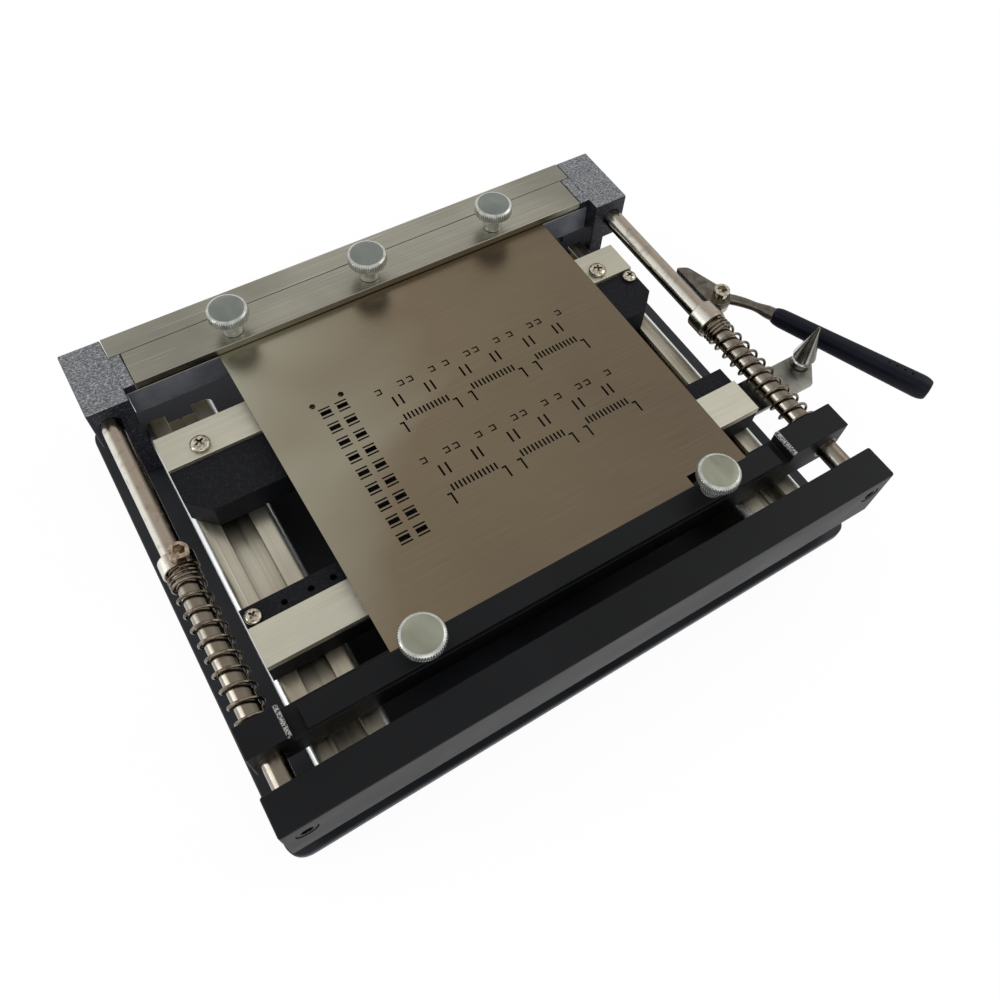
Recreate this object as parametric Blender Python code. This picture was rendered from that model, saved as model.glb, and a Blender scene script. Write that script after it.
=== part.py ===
"""Benchtop stencil printing press with a hinged, spring-tensioned frame.

The press lies on four feet. X runs from its left end to its right end, Y runs to the rear, and Z is up.
Places along Y are written as distances in front of the rear face of the frame's end blocks. All sizes are
in metres.
"""

import math

import bmesh
import bpy
from mathutils import Matrix, Vector

# Clearances between pieces
SEAT_GAP = 0.0003
RUN_GAP = 0.0003
SIDE_GAP = 0.0006
CUT_OVERRUN = 0.0020

# Base plate, its feet and the rest under the front beam
BASE_MARGIN = 0.0050
BASE_SETBACK = 0.0015
BASE_THICK = 0.0050
BASE_CORNER = 0.0100
FOOT_DIAMETER = 0.0180
FOOT_TOP_DIAMETER = 0.0150
FOOT_HEIGHT = 0.0060
FOOT_INSET = 0.0220
REST_DEPTH = 0.0120
REST_END_INSET = 0.0120
REST_FRONT_INSET = 0.0040
REST_PAD_DIAMETER = 0.0080
REST_PAD_HEIGHT = 0.0020
REST_PAD_INSET = 0.0300

# Extruded rails on the base plate
RAIL_WIDTH = 0.0350
RAIL_HEIGHT = 0.0290
RAIL_TO_SHAFT = 0.0120
RAIL_REAR = 0.0340
RAIL_END_GAP = 0.0010
RAIL_MOUTH = 0.0130
RAIL_MOUTH_DEPTH = 0.0022
RAIL_SLOT = 0.0190
RAIL_SLOT_DEPTH = 0.0060
RAIL_CORNER = 0.0025
RAIL_WALL = 0.0030
RAIL_SCREW_INSET = 0.0300

# Board ledges and the flat bars that stop the board
LEDGE_TO_SHAFT = 0.0130
LEDGE_HEIGHT = 0.0144
REAR_LEDGE_DEPTH = 0.0465
FRONT_LEDGE_DEPTH = 0.0295
LEDGE_CHAMFER = 0.0100
LEDGE_HOLE_DIAMETER = 0.0030
LEDGE_HOLE_DEPTH = 0.0040
LEDGE_HOLE_X_SHARES = (-0.86, -0.765, -0.684)
BAR_DEPTH = 0.0192
BAR_THICK = 0.0040
BOARD_STEP = 0.0020
REAR_BAR_BACK = 0.0575
FRONT_STOP_CLEAR = 0.0198
BAR_SCREW_INSET = 0.0180
BAR_SCREW_DEPTH_SHARE = 0.68
BAR_SCREW_HEAD = 0.0095
LEDGE_SCREW_HEAD = 0.0076
LEDGE_SCREW_INSET = 0.0005
SCREW_HEAD_HEIGHT = 0.0026
SCREW_SHANK_SHARE = 0.45
SCREW_SHANK_LENGTH = 0.0080
PAN_CROWN_SHARES = ((1.00, 0.333), (0.80, 0.850), (0.45, 1.000))
RECESS_WIDTH_SHARE = 0.16
RECESS_LENGTH_SHARE = 0.62
RECESS_DEPTH_SHARE = 0.55
RECESS_TURN = 21.0

# Lock plate and cone post at the right end of the front ledge
LOCK_THICK = 0.0030
LOCK_WIDTH = 0.0190
LOCK_BEHIND_BAR = 0.0014
LOCK_POCKET = 0.0120
LOCK_DROP = 0.0095
LOCK_BOSS_RADIUS = 0.0062
LOCK_SLANT = -40.0
POST_PAST_LEVER = 0.0129
CONE_DIAMETER = 0.0120
CONE_HEIGHT = 0.0245
CONE_ROOT_SHARE = 0.85
CONE_TIP_SHARE = 0.08
CONE_COLLAR_DIAMETER = 0.0110
CONE_COLLAR_HEIGHT = 0.0030
CONE_STUD_DIAMETER = 0.0050
CONE_NUT_DIAMETER = 0.0090
CONE_NUT_HEIGHT = 0.0030

# Stencil sheet
PRINT_GAP = 0.0066
SHEET_THICK = 0.0002
SHEET_LEFT = 0.0845
SHEET_RIGHT = 0.1002
SHEET_REAR = 0.0277
SHEET_UNDER_CLAMP = 0.0090
NOTCH_WIDTH = 0.0066
NOTCH_PAST_KNOB = 0.0122

# Rear clamp: square tube, clamp strip and three thumbscrews
TUBE_HEIGHT = 0.0200
TUBE_STEP_BACK = 0.0122
TUBE_DEPTH = 0.0325
TUBE_WALL = 0.0030
STRIP_THICK = 0.0040
STRIP_DEPTH = 0.0198
STRIP_END_INSET = 0.0055
REAR_KNOB_BACK = 0.0245
KNOB_SPACING = 0.0730
KNOB_DIAMETER = 0.0196
KNOB_HEAD = 0.0055
KNOB_NECK_DIAMETER = 0.0100
KNOB_NECK = 0.0095
KNOB_SHANK_DIAMETER = 0.0050
KNOB_SHANK = 0.0100
KNOB_TEETH = 18
KNOB_KNURL_DEPTH = 0.0004
KNOB_EDGE = 0.0006

# Rear end blocks of the frame, their hinge brackets and pins
FRAME_WIDTH = 0.3000
BLOCK_WIDTH = 0.0200
BLOCK_DEPTH = 0.0400
CAP_HEIGHT = 0.0250
CHEEK_REACH = 0.0052
LEG_INSET = 0.0115
LEG_THICK = 0.0080
HINGE_RADIUS = 0.0120
HINGE_CLEAR = 0.0010
HINGE_PIN_DIAMETER = 0.0060
HINGE_PIN_HEAD = 0.0100
HINGE_PIN_HEAD_THICK = 0.0030
BRACKET_THICK = 0.0080

# Round shafts, stop collars and springs
SHAFT_DIAMETER = 0.0100
SHAFT_INSET = 0.0080
SHAFT_DROP = 0.0115
SHAFT_REAR_WALL = 0.0100
COLLAR_DIAMETER = 0.0160
LEFT_COLLAR_WIDTH = 0.0075
RIGHT_COLLAR_WIDTH = 0.0105
COLLAR_CHAMFER = 0.0008
COLLAR_SCREW_TILT = 15.0
CAP_SCREW_HEAD = 0.0085
CAP_SCREW_HEIGHT = 0.0050
CAP_SCREW_SHANK = 0.0050
CAP_SCREW_SOCKET_SHARE = 0.50
LEFT_SPRING_LENGTH = 0.0765
RIGHT_SPRING_LENGTH = 0.0725
SPRING_DIAMETER = 0.0150
SPRING_WIRE = 0.0014
SPRING_COIL_GAP = 0.0006
LEFT_CURLS = 12
RIGHT_CURLS = 13
CURL_POINTS = 9

# Sliding tension beam with its bushes, clamp bar and two thumbscrews
SLIDER_DEPTH = 0.0140
SLIDER_GAP = 0.0135
SLIDER_BELOW_SHAFT = 0.0095
EAR_RISE = 0.0020
LEFT_EAR_TO_SHAFT = 0.0105
RIGHT_EAR_TO_SHAFT = 0.0255
BUSH_WALL = 0.0012
CLAMP_SETBACK = 0.0030
CLAMP_DEPTH = 0.0110
CLAMP_END_GAP = 0.0060
FRONT_KNOB_SETBACK = 0.0052

# Front beam
BEAM_OVERHANG = 0.0015
BEAM_BACK = 0.2305
BEAM_DEPTH = 0.0170
BEAM_HEIGHT = 0.0330
BEAM_BORE = 0.0100
END_SCREW_HEAD = 0.0090
END_SCREW_HEAD_HEIGHT = 0.0030
END_SCREW_SHANK = 0.0050

# Side lever on the right collar
LEVER_OUT = 0.0175
LEVER_BEHIND_COLLAR = 0.0044
LEVER_THICK = 0.0030
LEVER_DROP = 0.0012
LEVER_EYE = 0.0070
LUG_THICK = 0.0040
LUG_RADIUS = 0.0062
LUG_ROOT_SHARE = 0.8
LUG_ARC_START = -110.0
LUG_ARC_SWEEP = 200.0
LEAF_GAP = 0.0045
LEAF_BACK = 0.0281
LEAF_CLEAR = 0.0015
LEAF_TIP_WIDTH = 0.0061
ARM_WIDTH = 0.0070
ARM_ELBOW_OUT = 0.0105
ARM_ELBOW_FORWARD = 0.0085
GRIP_START_OUT = 0.0177
GRIP_START_FORWARD = 0.0229
GRIP_LENGTH = 0.0863
GRIP_ANGLE = 65.0
GRIP_DIAMETER = 0.0118
GRIP_ARM_DIAMETER = 0.0092
GRIP_END_SHARE = 0.84
GRIP_NOSE = 0.0050
GRIP_CROWN_SHARES = (0.86, 0.30)
GRIP_TIP_SHARE = 0.60
GRIP_SOCKET = 0.0120
TANG_DIAMETER = 0.0050

# Rounding of the larger pieces
BLOCK_EDGE = 0.0008
BEAM_EDGE = 0.0010
BAR_EDGE = 0.0003

# Stencil openings, placed from the sheet's left edge and from the clamp strip's front edge
MARK_DIAMETER = 0.0029
MARK_LEFT = 0.0253
MARK_SPACING = 0.0146
MARK_FORWARD = 0.0488
COLUMN_LEFT = 0.0294
COLUMN_SPACING = 0.0084
COLUMN_FORWARD = 0.0549
COLUMN_PITCH = 0.0094
COLUMN_PADS = 9
PAD_WIDTH = 0.0053
PAD_LENGTH = 0.0024
UNIT_LEFT = 0.0710
UNIT_FORWARD = 0.0752
UNIT_SPACING_X = 0.03635
UNIT_SPACING_Y = 0.0436
UNITS_ACROSS = 3
UNITS_DEEP = 2
PIN_COUNT = 12
PIN_PITCH = 0.00204
PIN_WIDTH = 0.0009
PIN_LENGTH = 0.0038
TAB_REACH = 0.0141
TAB_WIDTH = 0.0024
TAB_LENGTH = 0.0065
TAB_LINE = 0.0009
TAB_DROP = 0.0018

# Mesh fineness
ROUND_STEPS = 24
SMALL_STEPS = 12
CORNER_STEPS = 4
HEX_SIDES = 6
MERGE_DISTANCE = 1e-7
BEVEL_ANGLE = 40.0
SHARP_ANGLE = 35.0
KNURL_SHARP_ANGLE = 25.0

# Widths that follow the frame's
BASE_WIDTH = FRAME_WIDTH + 2 * BASE_MARGIN
BEAM_WIDTH = FRAME_WIDTH + 2 * BEAM_OVERHANG
SHAFT_X = FRAME_WIDTH / 2 - SHAFT_INSET
SHAFT_RADIUS = SHAFT_DIAMETER / 2
LEFT_EAR_INNER = LEFT_EAR_TO_SHAFT - SHAFT_X
RIGHT_EAR_INNER = SHAFT_X - RIGHT_EAR_TO_SHAFT
LEDGE_LENGTH = 2 * (SHAFT_X - LEDGE_TO_SHAFT)
RAIL_OFFSET = SHAFT_X - RAIL_TO_SHAFT - RAIL_WIDTH / 2

# Distances in front of the end blocks' rear face that follow the front beam's
BASE_DEPTH = BEAM_BACK + BEAM_DEPTH - BASE_SETBACK
RAIL_FRONT = BASE_DEPTH - REST_FRONT_INSET - REST_DEPTH - RAIL_END_GAP
SLIDER_BACK = BEAM_BACK - SLIDER_GAP - SLIDER_DEPTH
LEFT_COLLAR_BACK = SLIDER_BACK - LEFT_SPRING_LENGTH - LEFT_COLLAR_WIDTH
RIGHT_COLLAR_BACK = SLIDER_BACK - RIGHT_SPRING_LENGTH - RIGHT_COLLAR_WIDTH
CLAMP_BACK = SLIDER_BACK + CLAMP_SETBACK
FRONT_KNOB_BACK = CLAMP_BACK + FRONT_KNOB_SETBACK
SHEET_FRONT = CLAMP_BACK + SHEET_UNDER_CLAMP
NOTCH_END = FRONT_KNOB_BACK - NOTCH_PAST_KNOB
FRONT_BAR_BACK = SLIDER_BACK - FRONT_STOP_CLEAR - BAR_DEPTH

# The lock plate's post stands past the side lever's pivot
POST_REACH = LEDGE_TO_SHAFT + LEVER_OUT + POST_PAST_LEVER

# Heights above the surface that the press stands on
BASE_TOP = FOOT_HEIGHT + BASE_THICK
RAIL_BOTTOM = BASE_TOP + SEAT_GAP
RAIL_TOP = RAIL_BOTTOM + RAIL_HEIGHT
LEDGE_BOTTOM = RAIL_TOP + SEAT_GAP
LEDGE_TOP = LEDGE_BOTTOM + LEDGE_HEIGHT
BAR_TOP = LEDGE_TOP + BOARD_STEP
BAR_BOTTOM = BAR_TOP - BAR_THICK
SHEET_BOTTOM = BAR_TOP + PRINT_GAP
SHEET_TOP = SHEET_BOTTOM + SHEET_THICK
STRIP_BOTTOM = SHEET_TOP + SEAT_GAP
FRAME_TOP = STRIP_BOTTOM + STRIP_THICK
SHAFT_Z = FRAME_TOP - SHAFT_DROP
HINGE_Z = BASE_TOP + HINGE_CLEAR + HINGE_RADIUS
HINGE_Y = -HINGE_RADIUS
BEAM_BOTTOM = FRAME_TOP - BEAM_HEIGHT
SLIDER_BOTTOM = SHAFT_Z - SLIDER_BELOW_SHAFT
CLAMP_FACE = SHEET_BOTTOM - SEAT_GAP

# Named colours: base colour, roughness and metallic value
FINISHES = {
    "black_coated_plate": ((0.018, 0.019, 0.021), 0.55, 0.0),
    "textured_black_plastic": ((0.040, 0.042, 0.048), 0.70, 0.0),
    "black_anodised": ((0.022, 0.023, 0.026), 0.45, 0.3),
    "milled_aluminium": ((0.62, 0.60, 0.55), 0.35, 1.0),
    "extruded_aluminium": ((0.55, 0.54, 0.50), 0.40, 1.0),
    "polished_steel": ((0.66, 0.63, 0.58), 0.15, 1.0),
    "spring_steel": ((0.30, 0.27, 0.24), 0.30, 1.0),
    "stencil_steel": ((0.34, 0.31, 0.27), 0.25, 1.0),
    "zinc_plated": ((0.66, 0.68, 0.66), 0.30, 1.0),
    "bronze": ((0.45, 0.30, 0.16), 0.40, 1.0),
    "rubber": ((0.020, 0.020, 0.020), 0.85, 0.0),
    "grip_vinyl": ((0.012, 0.016, 0.040), 0.60, 0.0),
}


def clear_scene():
    for obj in list(bpy.data.objects):
        bpy.data.objects.remove(obj, do_unlink=True)


def finish(name):
    """The material of this name, made once from its colour, roughness and metallic value."""
    if name in bpy.data.materials:
        return bpy.data.materials[name]
    colour, roughness, metallic = FINISHES[name]
    material = bpy.data.materials.new(name)
    material.use_nodes = True
    shader = material.node_tree.nodes["Principled BSDF"]
    shader.inputs["Base Color"].default_value = (*colour, 1.0)
    shader.inputs["Roughness"].default_value = roughness
    shader.inputs["Metallic"].default_value = metallic
    return material


def pivot(name, place, parent=None):
    """An empty at this place, which carries the pieces that move together."""
    empty = bpy.data.objects.new(name, None)
    bpy.context.scene.collection.objects.link(empty)
    empty.location = Vector(place) - carried_by(parent)
    empty.parent = parent
    return empty


def carried_by(parent):
    """Where a parent stands; every parent here is unrotated."""
    place = Vector()
    while parent is not None:
        place += parent.location
        parent = parent.parent
    return place


def add_piece(name, mesh, material, parent, origin=None):
    """Makes an object of a mesh whose points are places on the press.

    Its origin is its parent's, or the place given.
    """
    base = carried_by(parent)
    centre = base if origin is None else Vector(origin)
    mesh.transform(Matrix.Translation(-centre))
    obj = bpy.data.objects.new(name, mesh)
    bpy.context.scene.collection.objects.link(obj)
    obj.parent = parent
    obj.location = centre - base
    obj.data.materials.append(finish(material))
    return obj


def helper(name, mesh):
    """An object that only cuts or adds to another one."""
    obj = bpy.data.objects.new(name, mesh)
    bpy.context.scene.collection.objects.link(obj)
    obj.hide_render = True
    obj.display_type = "WIRE"
    return obj


def combine(obj, mesh, operation):
    """Cuts a mesh out of an object, or joins it on, with a Boolean."""
    other = helper(f"{obj.name}.{operation.lower()}.{len(obj.modifiers)}", mesh)
    boolean = obj.modifiers.new(operation.lower(), "BOOLEAN")
    boolean.operation = operation
    boolean.solver = "EXACT"
    boolean.object = other
    return obj


def cut(obj, mesh):
    return combine(obj, mesh, "DIFFERENCE")


def join(obj, mesh):
    return combine(obj, mesh, "UNION")


def soften(obj, width, segments=2):
    """Rounds the sharp edges of an object before anything is cut from it."""
    bevel = obj.modifiers.new("edges", "BEVEL")
    bevel.width = width
    bevel.segments = segments
    bevel.limit_method = "ANGLE"
    bevel.angle_limit = math.radians(BEVEL_ANGLE)
    return obj


def close_mesh(bm, name):
    bmesh.ops.remove_doubles(bm, verts=bm.verts, dist=MERGE_DISTANCE)
    bmesh.ops.recalc_face_normals(bm, faces=bm.faces)
    mesh = bpy.data.meshes.new(name)
    bm.to_mesh(mesh)
    bm.free()
    return mesh


def circle(centre, radius, steps=SMALL_STEPS, start=0.0):
    """Points of a circle, as (u, v)."""
    turn = 2 * math.pi / steps
    return [
        (centre[0] + radius * math.cos(start + i * turn), centre[1] + radius * math.sin(start + i * turn))
        for i in range(steps)
    ]


def rectangle(u_low, u_high, v_low, v_high):
    return [(u_low, v_low), (u_high, v_low), (u_high, v_high), (u_low, v_high)]


def rounded_rectangle(u_low, u_high, v_low, v_high, radius, steps=CORNER_STEPS):
    """A rectangle whose corners are arcs."""
    centres = (
        (u_high - radius, v_high - radius),
        (u_low + radius, v_high - radius),
        (u_low + radius, v_low + radius),
        (u_high - radius, v_low + radius),
    )
    points = []
    for quarter, (u, v) in enumerate(centres):
        for i in range(steps + 1):
            angle = (quarter + i / steps) * math.pi / 2
            points.append((u + radius * math.cos(angle), v + radius * math.sin(angle)))
    return points


def prism(loops, low, high, axis="Z"):
    """A solid of one outline, with any holes, drawn out along an axis from low to high.

    Along Z the outline's points are (x, y), along Y they are (x, z), and along X they are (y, z).
    """
    curve = bpy.data.curves.new("outline", "CURVE")
    curve.dimensions = "2D"
    curve.fill_mode = "BOTH"
    curve.extrude = (high - low) / 2
    for loop in loops:
        spline = curve.splines.new("POLY")
        spline.points.add(len(loop) - 1)
        for point, (u, v) in zip(spline.points, loop):
            point.co = (u, v, 0.0, 1.0)
        spline.use_cyclic_u = True
    carrier = bpy.data.objects.new("outline", curve)
    bpy.context.scene.collection.objects.link(carrier)
    bpy.context.view_layer.update()
    mesh = bpy.data.meshes.new_from_object(carrier)
    bpy.data.objects.remove(carrier, do_unlink=True)
    bm = bmesh.new()
    bm.from_mesh(mesh)
    bpy.data.meshes.remove(mesh)
    middle = (low + high) / 2
    for vert in bm.verts:
        u, v, w = vert.co.x, vert.co.y, vert.co.z + middle
        vert.co = {"Z": (u, v, w), "Y": (u, w, v), "X": (w, u, v)}[axis]
    return close_mesh(bm, "prism")


def box(x_low, x_high, y_low, y_high, z_low, z_high):
    return prism([rectangle(x_low, x_high, y_low, y_high)], z_low, z_high)


def turned(profile, steps=ROUND_STEPS, ring=False, teeth=0, knurl=0.0):
    """A solid turned about Z from (radius, z) points, listed from the bottom up.

    A ring's profile is a closed loop that stays clear of the axis. With teeth, every other step of a point
    marked as knurled, by a third value of 1, lies this much nearer the axis.
    """
    bm = bmesh.new()
    rows = []
    for point in profile:
        radius, z = point[0], point[1]
        knurled = len(point) == 3
        if radius == 0:
            rows.append([bm.verts.new((0, 0, z))])
            continue
        row = []
        for i in range(steps):
            angle = 2 * math.pi * i / steps
            reach = radius - knurl if knurled and teeth and i % 2 else radius
            row.append(bm.verts.new((reach * math.cos(angle), reach * math.sin(angle), z)))
        rows.append(row)
    pairs = list(zip(rows, rows[1:]))
    if ring:
        pairs.append((rows[-1], rows[0]))
    for below, above in pairs:
        for i in range(steps):
            j = (i + 1) % steps
            if len(below) == 1:
                bm.faces.new((below[0], above[j], above[i]))
            elif len(above) == 1:
                bm.faces.new((below[i], below[j], above[0]))
            else:
                bm.faces.new((below[i], below[j], above[j], above[i]))
    if not ring:
        for row in (rows[0], rows[-1]):
            if len(row) > 1:
                bm.faces.new(row)
    return close_mesh(bm, "turned")


def rod(start, end, radius, steps=SMALL_STEPS):
    """A round bar between two places."""
    start, end = Vector(start), Vector(end)
    mesh = turned([(radius, 0.0), (radius, (end - start).length)], steps)
    return moved(mesh, start, end - start)


def moved(mesh, place, direction=(0.0, 0.0, 1.0)):
    """Turns a mesh's Z axis to a direction and carries it to a place."""
    turn = Vector((0.0, 0.0, 1.0)).rotation_difference(Vector(direction).normalized())
    mesh.transform(Matrix.Translation(place) @ turn.to_matrix().to_4x4())
    return mesh


def smooth(obj, angle=SHARP_ANGLE):
    obj.data.shade_smooth()
    obj.data.set_sharp_from_angle(angle=math.radians(angle))
    return obj


def make_base(press):
    """The base plate with rounded corners, its feet, and the rest that carries the front beam."""
    half = BASE_WIDTH / 2
    outline = rounded_rectangle(-half, half, -BASE_DEPTH, 0.0, BASE_CORNER)
    holes = [circle((x, y), CAP_SCREW_SHANK / 2 + RUN_GAP) for x, y in rail_screw_places()]
    add_piece("base_plate", prism([outline, *holes], FOOT_HEIGHT, BASE_TOP), "black_coated_plate", press)

    foot_top = FOOT_HEIGHT - SEAT_GAP
    for side, x in (("left", -half + FOOT_INSET), ("right", half - FOOT_INSET)):
        for end, y in (("front", -BASE_DEPTH + FOOT_INSET), ("rear", -FOOT_INSET)):
            profile = [(FOOT_DIAMETER / 2, 0.0), (FOOT_TOP_DIAMETER / 2, foot_top)]
            foot = add_piece(f"foot_{end}_{side}", moved(turned(profile), (x, y, 0.0)), "rubber", press)
            smooth(foot)

    x_end = half - REST_END_INSET
    front = -BASE_DEPTH + REST_FRONT_INSET
    rest_top = BEAM_BOTTOM - REST_PAD_HEIGHT - SEAT_GAP
    rest = add_piece(
        "front_rest",
        box(-x_end, x_end, front, front + REST_DEPTH, BASE_TOP + SEAT_GAP, rest_top - SEAT_GAP),
        "black_coated_plate",
        press,
    )
    soften(rest, BLOCK_EDGE)
    y = front + REST_DEPTH / 2
    for side, x in (("left", -x_end + REST_PAD_INSET), ("right", x_end - REST_PAD_INSET)):
        profile = [(REST_PAD_DIAMETER / 2, rest_top), (REST_PAD_DIAMETER / 2, rest_top + REST_PAD_HEIGHT)]
        mesh = moved(turned(profile, SMALL_STEPS), (x, y, 0.0))
        smooth(add_piece(f"rest_pad_{side}", mesh, "rubber", press))


def rail_screw_places():
    """Where the screws from below hold the two rails."""
    return [
        (side * RAIL_OFFSET, -end)
        for side in (-1, 1)
        for end in (RAIL_REAR + RAIL_SCREW_INSET, RAIL_FRONT - RAIL_SCREW_INSET)
    ]


def rail_outline():
    """The rail's section as (x, z) about its middle line: rounded shoulders and a slot along the top."""
    half, mouth, slot = RAIL_WIDTH / 2, RAIL_MOUTH / 2, RAIL_SLOT / 2
    lip = RAIL_TOP - RAIL_MOUTH_DEPTH
    floor = RAIL_TOP - RAIL_SLOT_DEPTH
    shoulder = []
    for i in range(CORNER_STEPS + 1):
        angle = i / CORNER_STEPS * math.pi / 2
        across = half - RAIL_CORNER + RAIL_CORNER * math.cos(angle)
        shoulder.append((across, RAIL_TOP - RAIL_CORNER + RAIL_CORNER * math.sin(angle)))
    groove = [(mouth, RAIL_TOP), (mouth, lip), (slot, lip), (slot, floor)]
    right = [(half, RAIL_BOTTOM), *shoulder, *groove]
    return right + [(-x, z) for x, z in reversed(right)]


def make_rails(press):
    """Two extruded rails, each with a slot on top and two hollow chambers, and the screws that hold them."""
    chamber_top = RAIL_TOP - RAIL_SLOT_DEPTH - RAIL_WALL
    chamber_low = RAIL_BOTTOM + RAIL_WALL
    inner = RAIL_WIDTH / 2 - RAIL_WALL
    web = CAP_SCREW_SHANK / 2 + RAIL_WALL
    screws = rail_screw_places()
    for side, name in ((-1, "rail_left"), (1, "rail_right")):
        x = side * RAIL_OFFSET
        outline = [(x + u, v) for u, v in rail_outline()]
        rail = add_piece(name, prism([outline], -RAIL_FRONT, -RAIL_REAR, "Y"), "extruded_aluminium", press)
        for low, high in ((x - inner, x - web), (x + web, x + inner)):
            ends = (-RAIL_FRONT - CUT_OVERRUN, -RAIL_REAR + CUT_OVERRUN)
            cut(rail, box(low, high, *ends, chamber_low, chamber_top))
        for screw_x, screw_y in screws:
            if screw_x * side > 0:
                low = RAIL_BOTTOM - CUT_OVERRUN
                bore = rod(
                    (screw_x, screw_y, low),
                    (screw_x, screw_y, low + CUT_OVERRUN + SCREW_SHANK_LENGTH),
                    CAP_SCREW_SHANK / 2 + RUN_GAP,
                )
                cut(rail, bore)
    names = ("rear_left", "front_left", "rear_right", "front_right")
    for name, (x, y) in zip(names, screws):
        top = RAIL_BOTTOM + SCREW_SHANK_LENGTH - CUT_OVERRUN
        head_top = FOOT_HEIGHT - SEAT_GAP
        radius, shank = CAP_SCREW_HEAD / 2, CAP_SCREW_SHANK / 2
        low = head_top - SCREW_HEAD_HEIGHT
        profile = [(radius, low), (radius, head_top), (shank, head_top), (shank, top)]
        mesh = moved(turned(profile, SMALL_STEPS), (x, y, 0.0))
        screw = add_piece(f"rail_screw_{name}", mesh, "zinc_plated", press)
        socket = radius * CAP_SCREW_SOCKET_SHARE
        recess = turned([(socket, low - CUT_OVERRUN), (socket, low + SCREW_HEAD_HEIGHT / 2)], HEX_SIDES)
        cut(screw, moved(recess, (x, y, 0.0)))
        smooth(screw)


def pan_screw(name, place, head, parent):
    """A pan-head screw with a cross recess, whose head stands on this place."""
    radius, shank = head / 2, head / 2 * SCREW_SHANK_SHARE
    x, y, z = place
    low = z + SEAT_GAP
    profile = [(shank, low - SCREW_SHANK_LENGTH), (shank, low), (radius, low)]
    profile += [(radius * across, low + SCREW_HEAD_HEIGHT * up) for across, up in PAN_CROWN_SHARES]
    screw = add_piece(name, moved(turned(profile, SMALL_STEPS), (x, y, 0.0)), "zinc_plated", parent)
    width, length = head * RECESS_WIDTH_SHARE / 2, head * RECESS_LENGTH_SHARE / 2
    floor = low + SCREW_HEAD_HEIGHT * (1 - RECESS_DEPTH_SHARE)
    top = low + SCREW_HEAD_HEIGHT + CUT_OVERRUN
    arm = [(length, -width), (length, width), (width, width)]
    outline = []
    for quarter in range(4):
        turn = math.radians(RECESS_TURN) + quarter * math.pi / 2
        cosine, sine = math.cos(turn), math.sin(turn)
        outline += [(x + u * cosine - v * sine, y + u * sine + v * cosine) for u, v in arm]
    cut(screw, prism([outline], floor, top))
    return smooth(screw)


def ledge(name, parent, bar_back, back, depth, chamfered):
    """A black ledge across both rails, with a seat cut into it for the flat bar."""
    half = LEDGE_LENGTH / 2
    rear, front = -back, -back - depth
    if chamfered:
        outline = [(-half, rear), (-half, front + LEDGE_CHAMFER), (-half + LEDGE_CHAMFER, front)]
        outline += [(half - LEDGE_CHAMFER, front), (half, front + LEDGE_CHAMFER), (half, rear)]
    else:
        outline = rectangle(-half, half, front, rear)
    piece = add_piece(name, prism([outline], LEDGE_BOTTOM, LEDGE_TOP), "textured_black_plastic", parent)
    bar_front = -bar_back - BAR_DEPTH
    over = half + CUT_OVERRUN
    rear_limit = -bar_back + SEAT_GAP + (CUT_OVERRUN if bar_back <= back + SEAT_GAP else 0)
    front_limit = bar_front - SEAT_GAP - (CUT_OVERRUN if bar_front <= front + SEAT_GAP else 0)
    top = LEDGE_TOP + CUT_OVERRUN
    cut(piece, box(-over, over, front_limit, rear_limit, BAR_BOTTOM - SEAT_GAP, top))
    return piece


def flat_bar(name, parent, bar_back):
    """A milled flat bar that stops the board's edge."""
    half = LEDGE_LENGTH / 2
    mesh = box(-half, half, -bar_back - BAR_DEPTH, -bar_back, BAR_BOTTOM, BAR_TOP)
    return soften(add_piece(name, mesh, "milled_aluminium", parent), BAR_EDGE, 1)


def screw_bore(obj, place, head):
    """Clears the way of a screw's shank."""
    x, y, z = place
    radius = head / 2 * SCREW_SHANK_SHARE + RUN_GAP
    cut(obj, rod((x, y, z - SCREW_SHANK_LENGTH - RUN_GAP), (x, y, z + CUT_OVERRUN), radius))


def make_rear_board_stop(press):
    """The rear ledge and flat bar, screwed to the rails."""
    back = REAR_BAR_BACK
    seat = ledge("rear_ledge", press, back, back, REAR_LEDGE_DEPTH, True)
    bar = flat_bar("rear_board_bar", press, back)
    y = -back - BAR_DEPTH * BAR_SCREW_DEPTH_SHARE
    reach = LEDGE_LENGTH / 2 - BAR_SCREW_INSET
    for name, x in (("rear_bar_screw_left", -reach), ("rear_bar_screw_right", reach)):
        place = (x, y, BAR_TOP)
        screw_bore(bar, place, BAR_SCREW_HEAD)
        screw_bore(seat, place, BAR_SCREW_HEAD)
        pan_screw(name, place, BAR_SCREW_HEAD, press)
    x = LEDGE_LENGTH / 2 - LEDGE_SCREW_INSET - LEDGE_SCREW_HEAD / 2
    place = (x, -back - BAR_DEPTH - LEDGE_SCREW_HEAD / 2 - SIDE_GAP, LEDGE_TOP)
    screw_bore(seat, place, LEDGE_SCREW_HEAD)
    pan_screw("rear_ledge_screw", place, LEDGE_SCREW_HEAD, press)


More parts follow.
